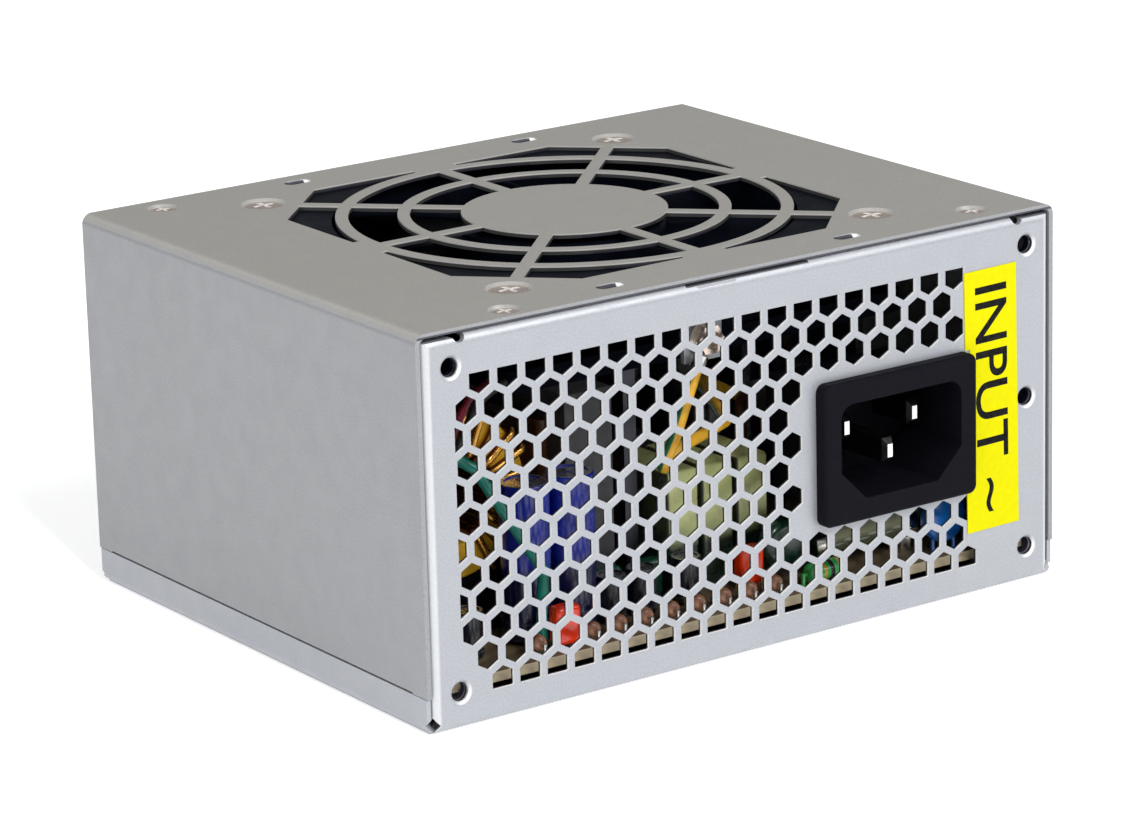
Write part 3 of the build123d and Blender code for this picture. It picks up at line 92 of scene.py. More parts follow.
# ---------------------------------------------------------------- materials
class Look:
    """A Principled material with short ways to add procedural detail in the part's own coordinates."""

    def __init__(self, name, colour, roughness, metallic=0.0, **sockets):
        self.material = bpy.data.materials.new(name)
        self.material.use_nodes = True
        self.tree = self.material.node_tree
        self.shader = self.tree.nodes["Principled BSDF"]
        self.coords = self.tree.nodes.new("ShaderNodeTexCoord")
        self.colour = colour
        self.set("Base Color", (*colour, 1.0))
        self.set("Roughness", roughness)
        self.set("Metallic", metallic)
        for socket, value in sockets.items():
            self.set(socket.replace("_", " "), value)

    def set(self, socket, value):
        """Puts a constant on the shader's own socket, or links a texture to it."""
        self.feed(self.shader.inputs[socket], value)

    def feed(self, socket, value):
        if isinstance(value, bpy.types.NodeSocket):
            self.tree.links.new(value, socket)
        elif isinstance(value, tuple) and len(value) == 3 and socket.type == "RGBA":
            socket.default_value = (*value, 1.0)
        else:
            socket.default_value = value

    def node(self, kind, output, inputs, **settings):
        made = self.tree.nodes.new(kind)
        for key, value in settings.items():
            setattr(made, key, value)
        for key, value in inputs.items():
            self.feed(made.inputs[key], value)
        return made.outputs[output]

    def math(self, operation, a, b=0.0, clamp=False):
        return self.node("ShaderNodeMath", 0, {0: a, 1: b}, operation=operation, use_clamp=clamp)

    def times(self, first, *others):
        """A product; masks multiplied together hold where all of them do."""
        for other in others:
            first = self.math("MULTIPLY", first, other)
        return first

    def plus(self, a, b):
        return self.math("ADD", a, b)

    def minus(self, a, b):
        return self.math("SUBTRACT", a, b)

    def size(self, value):
        """The value without its sign."""
        return self.math("ABSOLUTE", value)

    def under(self, value, edge):
        """1 where the value is below the edge, 0 elsewhere."""
        return self.math("LESS_THAN", value, edge)

    def over(self, value, edge):
        """1 where the value is above the edge, 0 elsewhere."""
        return self.math("GREATER_THAN", value, edge)

    def invert(self, mask):
        return self.minus(1.0, mask)

    def axis(self, letter, source="Object"):
        """One coordinate in metres, or one component of the surface normal."""
        return self.node("ShaderNodeSeparateXYZ", letter, {0: self.coords.outputs[source]})

    def stretched(self, scale):
        """The part's coordinates, scaled apart along the axes, for streaks."""
        return self.node("ShaderNodeMapping", 0, {"Vector": self.coords.outputs["Object"], "Scale": scale})

    def noise(self, scale, detail=3.0, roughness=0.55, vector=None):
        source = vector or self.coords.outputs["Object"]
        inputs = {"Vector": source, "Scale": scale, "Detail": detail, "Roughness": roughness}
        return self.node("ShaderNodeTexNoise", 0, inputs)

    def cells(self, scale):
        inputs = {"Vector": self.coords.outputs["Object"], "Scale": scale}
        return self.node("ShaderNodeTexVoronoi", 0, inputs)

    def ramp(self, factor, *stops):
        """Colours or greys along a factor: stops are (place, colour or grey)."""
        made = self.tree.nodes.new("ShaderNodeValToRGB")
        points = made.color_ramp.elements
        while len(points) < len(stops):
            points.new(0.5)
        for point, (place, tone) in zip(points, stops):
            point.position = place
            point.color = (*tone, 1.0) if isinstance(tone, tuple) else (tone, tone, tone, 1.0)
        self.feed(made.inputs[0], factor)
        return made.outputs[0]

    def mix(self, factor, a, b, blend="MIX"):
        made = self.tree.nodes.new("ShaderNodeMix")
        made.data_type = "RGBA"
        made.blend_type = blend
        self.feed(made.inputs[0], factor)
        self.feed(made.inputs[6], a)
        self.feed(made.inputs[7], b)
        return made.outputs[2]

    def step(self, value, edge, width):
        """0 below the edge, 1 above it, with a soft change over the width."""
        scaled = self.math("DIVIDE", self.math("SUBTRACT", value, edge), width)
        return self.math("ADD", scaled, 0.5, clamp=True)

    def band(self, value, low, high, width):
        """1 between the two edges, 0 outside them."""
        return self.times(self.step(value, low, width), self.invert(self.step(value, high, width)))

    def bump(self, height, strength, distance):
        inputs = {"Height": height, "Strength": strength, "Distance": distance}
        self.set("Normal", self.node("ShaderNodeBump", 0, inputs))
        return self

    def tint(self, factor, low, high):
        """Base colour that runs between two shades of itself."""
        dark = tuple(channel * low for channel in self.colour)
        light = tuple(min(1.0, channel * high) for channel in self.colour)
        return self.ramp(factor, (0.3, dark), (0.7, light))


def zinc_coated_steel(name, colour, cloud_tint):
    """Zinc-coated sheet: fine sparkle, faint cloudiness, roughness that wanders."""
    look = Look(name, colour, 0.42, 0.35)
    grain = look.noise(3200, 2.0, 0.6)
    cloud = look.noise(38, 3.0)
    flake = look.cells(1500)
    base = look.tint(grain, 0.90, 1.09)
    base = look.mix(look.ramp(cloud, (0.35, 0.0), (0.65, 0.5)), base, cloud_tint, "MULTIPLY")
    spark = look.ramp(flake, (0.0, 0.16), (0.14, 0.0))
    base = look.mix(spark, base, (0.85, 0.86, 0.88))
    look.set("Roughness", look.ramp(look.noise(240, 4.0), (0.3, 0.36), (0.7, 0.52)))
    return look, base, grain


def vent_walls(look, facing, x, y, z):
    """Masks of the walls of the vent's holes, and of the bare lip at the outer face, which is painted white
    as a highlight.
    """
    cut = look.invert(look.step(facing, 0.45, 0.2))
    field = look.times(look.band(x, *VENT_X, 0.2 * MM), look.band(z, *VENT_Z, 0.2 * MM))
    wall = look.times(cut, field, look.under(y, REAR_Y + VENT_DEPTH))
    lit_lip = look.invert(look.step(y, REAR_Y + VENT_LIT_LIP, 0.05 * MM))
    return wall, lit_lip


def fixing_reach(look, x, z):
    """Distance from the nearest rear screw hole, and its X part. The middle hole is only on the +X side."""
    far_away = 10 * MM
    off_x = look.minus(look.size(x), FIX_X)
    off_middle = look.size(look.minus(z, HALF_HEIGHT))
    corner_z = look.size(look.minus(off_middle, FIX_RISE))
    middle_z = look.plus(off_middle, look.times(look.under(x, 0.0), far_away))
    off_z = look.math("MINIMUM", corner_z, middle_z)
    square = look.plus(look.times(off_x, off_x), look.times(off_z, off_z))
    return look.math("SQRT", square), off_x


def thread_glint_and_shade(look, y, off_x):
    """Painted glints on the crests and painted shade in the roots of a thread, lost in the dark further in.
    """
    lead = 0.13
    angle = look.times(look.plus(y, look.times(off_x, lead)), 2 * math.pi / THREAD_PITCH)
    turns = look.plus(look.times(look.math("SINE", angle), 0.5), 0.5)
    thread = look.ramp(turns, (0.3, (0.06, 0.055, 0.10)), (0.7, (0.95, 0.95, 0.98)))
    return look.mix(look.step(y, THREAD_DIM_Y, 0.5 * MM), thread, (0.05, 0.045, 0.13))


def painted_bend_highlight(look, facing, reach):
    """Mask of the folded edges, which are painted brighter than the sheet as a highlight."""
    upright = look.band(look.size(look.axis("X", "Normal")), 0.25, 0.88, 0.15)
    level = look.band(look.axis("Z", "Normal"), 0.25, 0.88, 0.15)
    highlit_bend = look.math("MAXIMUM", upright, look.times(level, 0.4))
    turning = look.band(facing, 0.25, 0.97, 0.1)
    return look.times(highlit_bend, turning, look.over(reach, FIX_CLEAR_R), 0.38)


def case_steel():
    """Base sheet: bare cut lip round every vent hole painted white as a highlight, painted shade on the
    walls below it, threaded screw holes.
    """
    look, base, grain = zinc_coated_steel("case steel", (0.384, 0.396, 0.424), (0.97, 0.975, 0.99))
    x, y, z = (look.axis(letter) for letter in "XYZ")
    facing = look.size(look.axis("Y", "Normal"))
    wall, lit_lip = vent_walls(look, facing, x, y, z)
    # painted highlight on the bare cut lip of each vent hole, painted shade on the wall below it
    base = look.mix(wall, base, look.mix(lit_lip, (0.028, 0.028, 0.040), (1.0, 1.0, 1.0)))
    reach, off_x = fixing_reach(look, x, z)
    collar = look.under(y, FIX_COLLAR_END)
    rounding = look.step(look.axis("Y", "Normal"), -0.93, 0.12)
    mouth = look.times(look.under(reach, FIX_MOUTH_R), look.times(collar, rounding))
    # painted highlight and shade on the rounded mouth of each screw hole: lighter where it faces up and
    # towards -X, darker elsewhere
    lit_slope = look.minus(look.axis("Z", "Normal"), look.axis("X", "Normal"))
    tone = look.plus(look.times(lit_slope, 0.5), 0.5)
    base = look.mix(mouth, base, look.ramp(tone, (0.35, (0.30, 0.31, 0.34)), (0.95, (0.90, 0.90, 0.93))))
    throat = look.times(look.under(reach, FIX_THROAT_R), collar)
    # painted highlight on the folded edges of the sheet
    base = look.mix(painted_bend_highlight(look, facing, reach), base, (0.97, 0.97, 0.98))
    # painted thread glints and shade inside the screw holes
    look.set("Base Color", look.mix(throat, base, thread_glint_and_shade(look, y, off_x)))
    # the lit lip is made less metallic, so that its painted highlight stays white
    bare = look.times(wall, lit_lip)
    coated = look.ramp(throat, (0.0, 0.35), (1.0, 1.0))
    look.set("Metallic", look.minus(coated, look.times(bare, 0.35)))
    return look.bump(grain, 0.10, 0.00004).material


def dents(look, x_size, y_size, z):
    """Mask of the four small dents, below the cover's face."""
    near_x = look.under(look.size(look.minus(x_size, DENT_X)), DENT_REACH_X)
    near_y = look.under(look.size(look.minus(y_size, DENT_Y)), DENT_REACH_Y)
    sunk = look.invert(look.step(z, TOP_Z - DENT_SUNK, 0.10 * MM))
    return look.times(near_x, near_y, sunk)


def cover_steel():
    """Cover sheet: painted warm light on top, painted highlight on the grille's lips and painted shade on
    its walls, dents in painted shade with a painted highlight at one end.
    """
    look, base, grain = zinc_coated_steel("cover steel", (0.293, 0.300, 0.313), (0.98, 0.98, 0.97))
    x, y, z = (look.axis(letter) for letter in "XYZ")
    up = look.axis("Z", "Normal")
    # painted warm light: faces that look up are made lighter and warmer than the sides
    warm_lit_top = look.step(up, 0.55, 0.5)
    base = look.mix(warm_lit_top, base, look.mix(1.0, base, (1.25, 1.17, 1.03), "MULTIPLY"))
    # painted highlight along the cover's folds
    highlit_bend = look.band(look.size(up), 0.35, 0.93, 0.15)
    base = look.mix(look.times(highlit_bend, 0.22), base, (0.78, 0.78, 0.78))
    x_size = look.size(x)
    y_size = look.size(y)
    grille = look.under(look.math("MAXIMUM", x_size, y_size), GRILLE_HALF)
    wall = look.times(grille, look.invert(look.step(look.size(up), 0.5, 0.2)))
    lit_lip = look.step(z, TOP_Z - GRILLE_LIT_LIP, 0.10 * MM)
    # painted highlight on the grille's lips, painted shade on the walls below them
    base = look.mix(wall, base, look.mix(lit_lip, (0.06, 0.06, 0.06), (0.72, 0.71, 0.68)))
    dent = dents(look, x_size, y_size, z)
    # painted shade in the dents, with a painted highlight on the end wall that faces -X
    lit_dent_end = look.invert(look.step(look.axis("X", "Normal"), -0.42, 0.12))
    base = look.mix(dent, base, look.mix(lit_dent_end, (0.030, 0.028, 0.040), (0.95, 0.95, 0.95)))
    # painted shade: the cover's cut edge over the rear panel is darkened as the gap's shade
    rearward = look.under(look.axis("Y", "Normal"), -0.9)
    shaded_edge = look.times(rearward, look.band(z, *SHADED_EDGE_Z, 0.05 * MM))
    look.set("Base Color", look.mix(look.times(shaded_edge, 0.85), base, (0.030, 0.024, 0.042)))
    return look.bump(grain, 0.16, 0.00005).material


def moulded(name, colour, roughness, grain_scale=1400, **sockets):
    """Moulded plastic or rubber with a spark-eroded fine texture."""
    look = Look(name, colour, roughness, **sockets)
    grain = look.noise(grain_scale, 3.0, 0.65)
    look.set("Base Color", look.tint(grain, 0.82, 1.18))
    look.set("Roughness", look.ramp(look.noise(160, 3.0), (0.3, roughness - 0.06), (0.7, roughness + 0.08)))
    return look.bump(grain, 0.12, 0.00005)


def metal(name, colour, roughness, streak=(1, 1, 1)):
    """Bare metal with fine drawn or turned streaks."""
    look = Look(name, colour, roughness, 1.0)
    lines = look.noise(900, 3.0, 0.6, look.stretched(streak))
    look.set("Base Color", look.tint(lines, 0.88, 1.12))
    look.set("Roughness", look.ramp(lines, (0.3, roughness * 0.75), (0.7, min(1.0, roughness * 1.3))))
    return look.bump(lines, 0.12, 0.00003)


def glossy(name, colour):
    """Dipped or lacquered coat: slightly lumpy, with soft colour drift."""
    look = Look(name, colour, 0.22, Coat_Weight=0.5, Coat_Roughness=0.12)
    lumps = look.noise(330, 2.0, 0.5)
    look.set("Base Color", look.tint(look.noise(120, 3.0), 0.86, 1.12))
    look.set("Roughness", look.ramp(look.noise(700, 3.0), (0.3, 0.176), (0.7, 0.286)))
    return look.bump(lumps, 0.35, 0.00012)


def tape(name, colour):
    """Wound polyester tape: level layers and a soft shine."""
    look = Look(name, colour, 0.34, Coat_Weight=0.25, Coat_Roughness=0.2)
    wraps = look.noise(260, 2.0, 0.5, look.stretched((0.2, 0.2, 3.0)))
    look.set("Base Color", look.tint(wraps, 0.75, 1.2))
    look.set("Roughness", look.ramp(look.noise(400), (0.3, 0.28), (0.7, 0.42)))
    return look.bump(wraps, 0.3, 0.00015)


def tinned_brass():
    """Tinned blades with painted highlights on their rear tips and painted shade on their flanks, and the
    evenly bright ring terminal.
    """
    look = Look("tinned brass", (0.66, 0.64, 0.60), 0.3, 1.0)
    lines = look.noise(900, 3.0, 0.6, look.stretched((1, 0.1, 1)))
    rearward = look.under(look.axis("Y", "Normal"), -0.9)
    blade = look.over(look.axis("X"), INLET_LEFT_X)
    # painted highlight on the blades' rear tips, made less metallic so it stays white
    lit_tip = look.times(rearward, blade)
    # painted shade on the blades' flanks
    flank = look.mix(blade, look.tint(lines, 0.85, 1.15), (0.10, 0.10, 0.10))
    look.set("Base Color", look.mix(lit_tip, flank, (0.97, 0.97, 0.95)))
    look.set("Metallic", look.ramp(lit_tip, (0.0, 1.0), (1.0, 0.25)))
    look.set("Roughness", look.ramp(lines, (0.3, 0.24), (0.7, 0.38)))
    return look.bump(lines, 0.12, 0.00003).material


def screw_nickel():
    """Nickel-plated heads: painted glints on the flanks and painted shade in the cross recess."""
    look = Look("screw nickel", (0.66, 0.55, 0.47), 0.3, 1.0)
    grain = look.noise(2600, 2.0, 0.5)
    up = look.axis("Z", "Normal")
    # painted shade on the floor of the cross recess
    shaded_recess = look.band(look.axis("Z"), *RECESS_Z, 0.2 * MM)
    base = look.mix(shaded_recess, look.tint(grain, 0.85, 1.12), (0.13, 0.05, 0.035))
    # painted glints on the steep flanks near the top, made less metallic so they stay white
    flank = look.times(look.under(up, 0.4), look.over(look.axis("Z"), TOP_Z - 1.0 * MM))
    look.set("Base Color", look.mix(flank, base, (0.98, 0.95, 0.92)))
    look.set("Metallic", look.ramp(flank, (0.0, 1.0), (1.0, 0.3)))
    look.set("Roughness", look.ramp(grain, (0.3, 0.22), (0.7, 0.34)))
    return look.bump(grain, 0.15, 0.00003).material


def insulated_wire(name, colour, stripe=None):
    """Extruded insulation, with an optional second colour along one flank."""
    look = Look(name, colour, 0.36, Coat_Weight=0.15, Coat_Roughness=0.25)
    base = look.tint(look.noise(500, 2.0), 0.88, 1.1)
    if stripe:
        flank = look.times(look.axis("X", "Normal"), -1.0)
        base = look.mix(look.step(flank, 0.72, 0.06), base, stripe)
    look.set("Base Color", base)
    look.set("Roughness", look.ramp(look.noise(300), (0.3, 0.3), (0.7, 0.44)))
    return look.bump(look.noise(800), 0.1, 0.00004)


def enamelled_copper():
    """Varnished copper turns, with painted light: golden where they face the vent, painted shade in dark red
    round their flanks.
    """
    look = Look("enamelled copper", (0.62, 0.20, 0.075), 0.24, 0.85, Coat_Weight=0.6, Coat_Roughness=0.08)
    facing = look.size(look.axis("Y", "Normal"))
    # painted light and shade: golden where the turns face along Y, dark red where they turn away
    lit_towards_vent = look.plus(look.times(look.noise(420, 3.0), 0.3), facing)
    look.set("Base Color", look.ramp(lit_towards_vent, (0.45, (0.15, 0.025, 0.012)), (1.0, (0.86, 0.42, 0.06))))
    look.set("Roughness", look.ramp(look.noise(900), (0.3, 0.18), (0.7, 0.32)))
    return look.bump(look.noise(600, 2.0), 0.1, 0.00005)


def ferrite(name, colour):
    """Pressed and sintered ferrite: granular, with tiny pits."""
    look = Look(name, colour, 0.5)
    pits = look.ramp(look.cells(1100), (0.0, 0.0), (0.12, 1.0))
    dark = tuple(channel * 0.75 for channel in colour)
    light = tuple(min(1.0, channel * 1.25) for channel in colour)
    look.set("Base Color", look.mix(look.noise(700, 4.0), dark, light))
    look.set("Roughness", look.ramp(look.noise(500), (0.3, 0.42), (0.7, 0.62)))
    return look.bump(pits, 0.25, 0.00006)


def sleeve(name, colour, stripe):
    """Heat-shrunk sleeve: a pale stripe down one side, a shaded foot and a bare aluminium top."""
    look = Look(name, colour, 0.22, Coat_Weight=0.35, Coat_Roughness=0.1)
    base = look.tint(look.noise(300, 3.0), 0.85, 1.15)
    side = look.minus(look.axis("X", "Normal"), look.axis("Y", "Normal"))
    base = look.mix(look.step(side, 1.32, 0.03), base, stripe)
    shaded_foot = look.invert(look.step(look.axis("Z"), SLEEVE_FOOT_Z, 3 * MM))
    base = look.mix(look.times(shaded_foot, 0.85), base, (0.004, 0.005, 0.012))
    top = look.step(look.axis("Z", "Normal"), 0.9, 0.06)
    look.set("Base Color", look.mix(top, base, (0.62, 0.63, 0.65)))
    look.set("Metallic", look.ramp(top, (0.0, 0.0), (1.0, 0.9)))
    look.set("Roughness", look.ramp(look.noise(500), (0.3, 0.18), (0.7, 0.3)))
    return look.bump(look.noise(140, 2.0), 0.25, 0.0002)


def resistor_look():
    """Lacquered bodies with colour bands that differ from part to part, on bare tinned legs."""
    look = Look("banded resistor", (0.36, 0.17, 0.10), 0.25, Coat_Weight=0.6, Coat_Roughness=0.1)
    along = look.axis("Y")
    number = look.math("DIVIDE", look.plus(look.axis("X"), RESISTOR_FIRST_X), RESISTOR_PITCH)
    cell = look.math("FLOOR", number)
    base = look.tint(look.noise(300), 0.85, 1.15)
    tones = (
        ((0.25, 0.06, 0.03), (0.55, 0.30, 0.03), (0.02, 0.02, 0.02)),
        ((0.04, 0.03, 0.03), (0.45, 0.04, 0.02), (0.30, 0.10, 0.04)),
        ((0.55, 0.10, 0.02), (0.05, 0.03, 0.05), (0.45, 0.32, 0.04)),
        ((0.50, 0.36, 0.10), (0.48, 0.34, 0.10), (0.40, 0.28, 0.10)),
    )
    band_width, band_pitch = 0.27 * MM, 0.62 * MM
    for index, (first, second, third) in enumerate(tones):
        low = RESISTOR_BAND_Y + band_pitch * index
        pick = look.math("MODULO", look.plus(cell, float(index)), 3.0)
        colour = look.ramp(look.math("DIVIDE", pick, 2.0), (0.2, first), (0.5, second), (0.8, third))
        base = look.mix(look.band(along, low, low + band_width, 0.05 * MM), base, colour)
    ends = look.over(look.size(look.plus(along, RESISTOR_MIDDLE)), RESISTOR_HALF_BODY)
    legs = look.under(look.axis("Z"), RESISTOR_FOOT_Z)
    bare = look.math("MAXIMUM", ends, legs)
    look.set("Base Color", look.mix(bare, base, (0.6, 0.6, 0.58)))
    look.set("Metallic", look.ramp(bare, (0.0, 0.0), (1.0, 1.0)))
    look.set("Roughness", look.ramp(look.noise(500), (0.3, 0.2), (0.7, 0.32)))
    return look.bump(look.noise(420, 2.0), 0.25, 0.0001)


def film_capacitor_look():
    """Dipped film capacitors: the outer two red, the inner two green."""
    look = Look("film capacitor dip", (0.86, 0.035, 0.0), 0.22, Coat_Weight=0.5, Coat_Roughness=0.1)
    green = look.band(look.axis("X"), *GREEN_FILM_X, 0.2 * MM)
    base = look.tint(look.noise(150), 0.86, 1.12)
    green_dip = look.mix(look.noise(150), (0.008, 0.05, 0.03), (0.015, 0.10, 0.055))
    look.set("Base Color", look.mix(green, base, green_dip))
    look.set("Roughness", look.ramp(look.noise(600), (0.3, 0.17), (0.7, 0.3)))
    return look.bump(look.noise(330, 2.0), 0.35, 0.00012)


def fuse_look():
    """Glass in the middle of the fuse, nickel caps and clips at its ends."""
    look = Look("fuse", (0.55, 0.56, 0.42), 0.08, Coat_Weight=0.5, Coat_Roughness=0.03)
    across = look.size(look.minus(look.axis("X"), FUSE_X))
    end = look.step(across, FUSE_GLASS_HALF, 0.05 * MM)
    cap = look.math("MAXIMUM", end, look.under(look.axis("Z"), FUSE_CLIP_TOP))
    # painted light and shade on the glass: lighter where it faces up, darker where it faces down
    light_and_shade_by_facing = (0.0, (0.08, 0.09, 0.05)), (0.45, (0.40, 0.41, 0.24)), (1.0, (0.66, 0.68, 0.52))
    body = look.ramp(look.axis("Z", "Normal"), *light_and_shade_by_facing)
    look.set("Base Color", look.mix(cap, body, (0.72, 0.70, 0.64)))
    look.set("Metallic", look.ramp(cap, (0.0, 0.0), (1.0, 1.0)))
    look.set("Roughness", look.ramp(look.noise(500), (0.3, 0.08), (0.7, 0.24)))
    return look.bump(look.noise(300), 0.1, 0.00008)


def inductor_look():
    """Green lacquered body with coloured bands across it."""
    look = Look("axial inductor", (0.04, 0.36, 0.08), 0.22, Coat_Weight=0.6, Coat_Roughness=0.08)
    along = look.axis("X")
    base = look.tint(look.noise(200), 0.85, 1.12)
    bands = (
        (15.6 * MM, (0.35, 0.12, 0.04)),
        (17.0 * MM, (0.60, 0.28, 0.02)),
        (18.4 * MM, (0.03, 0.03, 0.03)),
        (20.0 * MM, (0.5, 0.38, 0.12)),
    )
    band_width = 0.7 * MM
    for low, colour in bands:
        base = look.mix(look.band(along, low, low + band_width, 0.06 * MM), base, colour)
    look.set("Base Color", base)
    look.set("Roughness", look.ramp(look.noise(500), (0.3, 0.18), (0.7, 0.3)))
    return look.bump(look.noise(330, 2.0), 0.3, 0.0001)


def laminate():
    """Phenolic board: brown, faintly fibrous, with pale cut edges."""
    look = Look("board laminate", (0.20, 0.15, 0.09), 0.42)
    fibres = look.noise(300, 4.0, 0.6, look.stretched((0.4, 2.2, 1.0)))
    edge = look.invert(look.step(look.size(look.axis("Z", "Normal")), 0.5, 0.2))
    look.set("Base Color", look.mix(edge, look.tint(fibres, 0.85, 1.14), (0.74, 0.62, 0.42)))
    look.set("Roughness", look.ramp(fibres, (0.3, 0.35), (0.7, 0.55)))
    return look.bump(fibres, 0.15, 0.00005)


def sticker():
    """Yellow coated paper with slightly soiled edges."""
    look = Look("label paper", (0.655, 0.610, 0.0), 0.5, Specular_IOR_Level=0.05)
    fibres = look.noise(900, 3.0, 0.6)
    soil = look.ramp(look.noise(60, 4.0), (0.55, 0.0), (0.8, 0.12))
    look.set("Base Color", look.mix(soil, look.tint(fibres, 0.96, 1.03), (0.58, 0.52, 0.01)))
    look.set("Roughness", look.ramp(fibres, (0.3, 0.34), (0.7, 0.46)))
    return look.bump(fibres, 0.12, 0.00003)


def powder_core():
    """Painted powder core: yellow, slightly rough."""
    look = Look("powder core paint", (0.90, 0.52, 0.03), 0.34, Coat_Weight=0.3, Coat_Roughness=0.2)
    look.set("Base Color", look.tint(look.noise(350, 4.0), 0.85, 1.08))
    look.set("Roughness", look.ramp(look.noise(500), (0.3, 0.28), (0.7, 0.42)))
    return look.bump(look.noise(700, 3.0), 0.3, 0.0001)


def pale_case():
    """Suppression capacitors: pale printed front and top, painted shade on the flanks and towards the foot.
    """
    look = Look("pale capacitor case", (0.52, 0.56, 0.23), 0.28, Coat_Weight=0.3, Coat_Roughness=0.15)
    base = look.tint(look.noise(120, 3.0), 0.86, 1.12)
    # painted shade on the flanks of the boxes
    flank = look.step(look.size(look.axis("X", "Normal")), 0.6, 0.3)
    base = look.mix(flank, base, (0.05, 0.06, 0.03))
    # painted shade towards the foot
    shaded_foot = look.invert(look.step(look.axis("Z"), CASE_FOOT_Z, 4 * MM))
    look.set("Base Color", look.mix(shaded_foot, base, (0.014, 0.03, 0.02)))
    look.set("Roughness", look.ramp(look.noise(700, 3.0), (0.3, 0.24), (0.7, 0.4)))
    return look.bump(look.noise(330, 2.0), 0.3, 0.00012).material


def white_clip():
    """Natural nylon, which lets a little light in."""
    inside = {"Subsurface_Weight": 0.15, "Subsurface_Radius": (0.002, 0.002, 0.001)}
    return moulded("natural nylon", (0.74, 0.71, 0.63), 0.42, **inside).material


def black_plastic():
    """The inlet's housing, and other black mouldings: dark at every angle."""
    return moulded("black glass-filled plastic", (0.0055, 0.0055, 0.0085), 0.5, IOR=1.12).material


LOOKS = {
    "case_steel": case_steel(),
    "cover_steel": cover_steel(),
    "screw_nickel": screw_nickel(),
    "label_yellow": sticker().material,
    "black_plastic": black_plastic(),
    "fan_plastic": moulded("fan plastic", (0.003, 0.004, 0.0075), 0.36, 900, IOR=1.06).material,
    "white_plastic": white_clip(),
    "tinned_brass": tinned_brass(),
    "bronze": metal("sintered bronze", (0.50, 0.28, 0.10), 0.45).material,
    "black_rubber": moulded("black sleeve rubber", (0.022, 0.022, 0.022), 0.6).material,
    "pad_rubber": moulded("silicone pad", (0.42, 0.42, 0.39), 0.62).material,
    "wire_brown": insulated_wire("brown insulation", (0.10, 0.035, 0.015)).material,
    "wire_blue": insulated_wire("blue insulation", (0.012, 0.05, 0.24)).material,
    "wire_yellow": insulated_wire("earth insulation", (0.86, 0.46, 0.025), (0.02, 0.16, 0.07)).material,
    "wire_red": insulated_wire("red insulation", (0.22, 0.008, 0.025)).material,
    "wire_black": insulated_wire("black insulation", (0.014, 0.014, 0.014)).material,
    "wire_teal": insulated_wire("teal sleeving", (0.0, 0.20, 0.15)).material,
    "bright_steel": metal("bright steel", (0.64, 0.64, 0.65), 0.28).material,
    "magnet": moulded("bonded magnet", (0.05, 0.045, 0.042), 0.55).material,
    "copper_wire": enamelled_copper().material,
    "board_laminate": laminate().material,
    "insulating_film": moulded("insulating film", (0.045, 0.045, 0.05), 0.3, 300).material,
    # painted shade: the heatsink's aluminium is given a far darker colour than bare aluminium has, for the
    # dark inside of the case
    "heatsink_aluminium": metal("mill aluminium in painted shade", (0.085, 0.085, 0.10), 0.36, (1, 1, 0.08)).material,
    "package_plastic": moulded("moulding compound", (0.022, 0.022, 0.024), 0.42).material,
    "ferrite": ferrite("dark ferrite", (0.055, 0.055, 0.060)).material,
    "ferrite_green": ferrite("green coated ferrite", (0.015, 0.12, 0.06)).material,
    "powder_core": powder_core().material,
    "tape_brown": tape("brown tape", (0.12, 0.04, 0.02)).material,
    "tape_yellow": tape("yellow tape", (0.50, 0.44, 0.12)).material,
    "sleeve_black": sleeve("black sleeve", (0.009, 0.010, 0.016), (0.24, 0.25, 0.27)).material,
    "sleeve_blue": sleeve("blue sleeve", (0.003, 0.012, 0.24), (0.03, 0.05, 0.34)).material,
    "epoxy_pale": pale_case(),
    "epoxy_blue": glossy("blue disc coat", (0.006, 0.10, 0.36)).material,
    "epoxy_red": film_capacitor_look().material,
    "epoxy_green": inductor_look().material,
    "epoxy_dark": glossy("dark green coat", (0.006, 0.038, 0.024)).material,
    "resistor_tan": resistor_look().material,
    "fuse_glass": fuse_look().material,
}

for part in frame["record"]["subparts"]:
    shown = NODES[part["node"]]
    shown.data.materials.clear()
    shown.data.materials.append(LOOKS[part["material_slot"]])


# ---------------------------------------------------------------- label print
def middle_and_span(values):
    return (max(values) + min(values)) / 2, max(values) - min(values)


def printed_word(text, length, height, centre):
    """Flat printed letters that read down the label, letter tops towards +X."""
    curve = bpy.data.curves.new("print", "FONT")
    curve.body = text
    curve.size = 10 * MM
    curve.offset = 0.07 * MM
    curve.extrude = 0.012 * MM
    curve.resolution_u = 6
    source = bpy.data.objects.new("print_source", curve)
    bpy.context.scene.collection.objects.link(source)
    bpy.context.view_layer.update()
    mesh = bpy.data.meshes.new_from_object(source.evaluated_get(bpy.context.evaluated_depsgraph_get()))
    bpy.data.objects.remove(source)
    middle_x, span_x = middle_and_span([vertex.co.x for vertex in mesh.vertices])
    middle_y, span_y = middle_and_span([vertex.co.y for vertex in mesh.vertices])
    along = length / span_x
    tall = height / span_y
    middle = Vector((middle_x, middle_y, 0))
    for vertex in mesh.vertices:
        flat = vertex.co - middle
        vertex.co = (flat.y * tall, -flat.z, -flat.x * along)
    mesh.transform(Matrix.Rotation(PRINT_TILT, 4, "Y"))
    mesh.transform(Matrix.Translation(centre))
    mesh.flip_normals()
    return bpy.data.objects.new("label_print", mesh)


def printing_ink():
    """Near-black ink, a little uneven where the paper shows through."""
    look = Look("printing ink", (0.006, 0.006, 0.006), 0.5, IOR=1.1)
    cover = look.noise(1500, 3.0)
    look.set("Base Color", look.ramp(cover, (0.3, (0.004, 0.004, 0.005)), (0.75, (0.018, 0.018, 0.018))))
    return look.bump(look.noise(1500), 0.1, 0.00002).material


label_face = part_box("voltage_label")[0].y
letters = printed_word("INPUT ~", *PRINT_SIZE, Vector((PRINT_PLACE[0], label_face, PRINT_PLACE[1])))
letters.data.materials.append(printing_ink())
bpy.context.scene.collection.objects.link(letters)
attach(letters, "case")


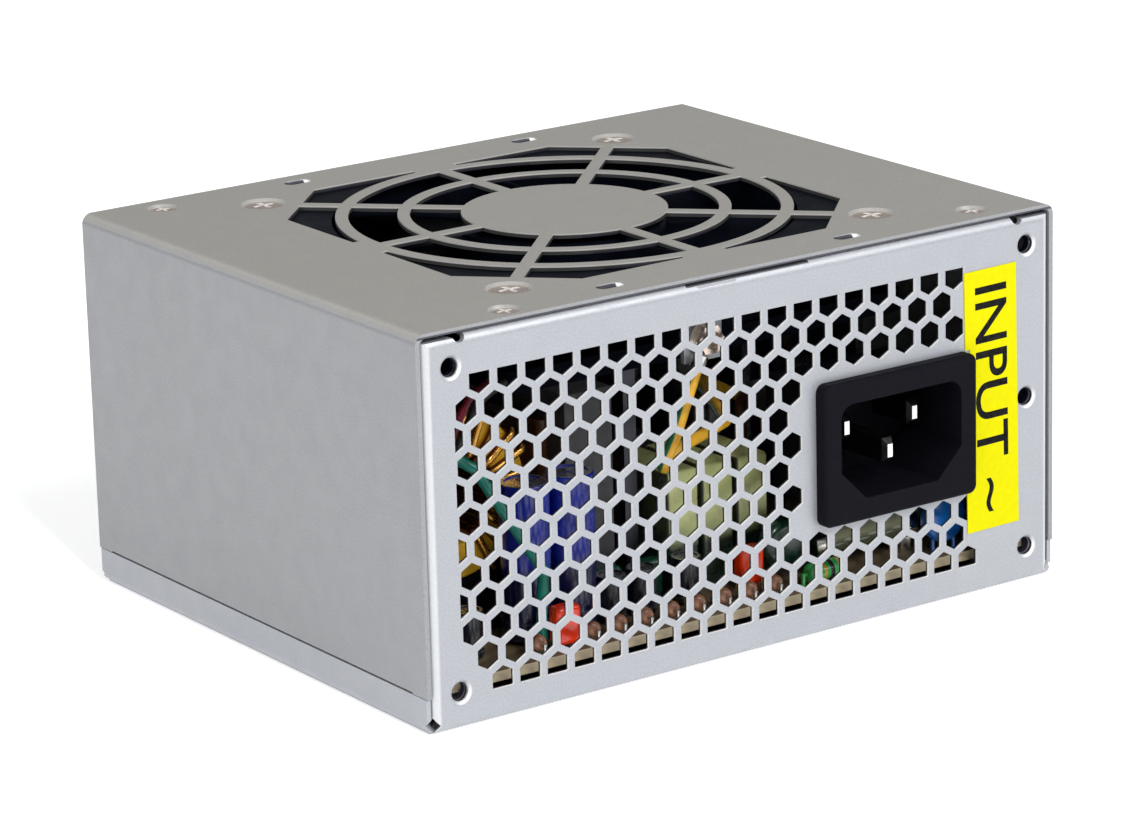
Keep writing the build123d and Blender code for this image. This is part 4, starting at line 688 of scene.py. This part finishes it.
# ---------------------------------------------------------------- stage
def floor():
    """A wide pale disc that lifts its own tone a little, so that it meets the backdrop's white."""
    mesh = bpy.data.meshes.new("floor")
    build = bmesh.new()
    bmesh.ops.create_circle(build, cap_ends=True, segments=96, radius=6.0)
    build.to_mesh(mesh)
    build.free()
    made = bpy.data.objects.new("floor", mesh)
    bpy.context.scene.collection.objects.link(made)
    look = Look("studio floor", (0.90, 0.90, 0.90), 0.7)
    cloud = look.noise(3.0, 2.0)
    look.set("Base Color", look.ramp(cloud, (0.3, (0.89, 0.89, 0.89)), (0.7, (0.91, 0.91, 0.91))))
    look.set("Emission Color", (1.0, 1.0, 1.0))
    look.set("Emission Strength", 0.42)
    mesh.materials.append(look.material)


def area_light(name, place, target, size, power, colour):
    light = bpy.data.lights.new(name, "AREA")
    light.shape = "RECTANGLE"
    light.size, light.size_y = size
    light.energy = power
    light.color = colour
    made = bpy.data.objects.new(name, light)
    made.location = place
    made.rotation_euler = (Vector(target) - Vector(place)).to_track_quat("-Z", "Y").to_euler()
    bpy.context.scene.collection.objects.link(made)


floor()
case_middle = (0, 0, 0.03)
area_light("key", (0.50, -1.15, 1.05), case_middle, (0.9, 0.8), 15.5, (0.97, 0.985, 1.0))
area_light("flash", (-0.30, -1.10, 0.95), case_middle, (0.10, 0.10), 5.0, (1.0, 0.99, 0.97))
area_light("side", (-1.6, -0.2, 0.8), case_middle, (1.2, 1.0), 11.0, (1.0, 1.0, 1.0))
area_light("overhead", (0.1, 0.5, 1.7), (0, 0, 0), (1.6, 1.6), 4.0, (1.0, 0.985, 0.96))

world = bpy.data.worlds.new("studio")
world.use_nodes = True
backdrop = world.node_tree.nodes["Background"]
backdrop.inputs["Color"].default_value = (0.97, 0.985, 1.0, 1.0)
backdrop.inputs["Strength"].default_value = 0.38
bpy.context.scene.world = world
bpy.context.scene.view_settings.view_transform = "Standard"

# ---------------------------------------------------------------- camera
camera = bpy.data.cameras.new("camera")
camera.sensor_width = 36.0
camera.sensor_fit = "HORIZONTAL"
camera.lens = 151.36
camera.clip_start = 0.05
camera.clip_end = 50.0
camera_object = bpy.data.objects.new("camera", camera)
turn = Vector((1.77970701, -0.58709078, 0.40503263))  # an axis as long as its angle in radians
world_to_view = Quaternion(turn.normalized(), turn.length).to_matrix()
view_axes = world_to_view.transposed() @ Matrix(((1, 0, 0), (0, -1, 0), (0, 0, -1)))
camera_object.rotation_mode = "QUATERNION"
camera_object.rotation_quaternion = view_axes.to_quaternion()
camera_object.location = (-0.43992307, -0.62917433, 0.25333347)
bpy.context.scene.collection.objects.link(camera_object)
bpy.context.scene.camera = camera_object
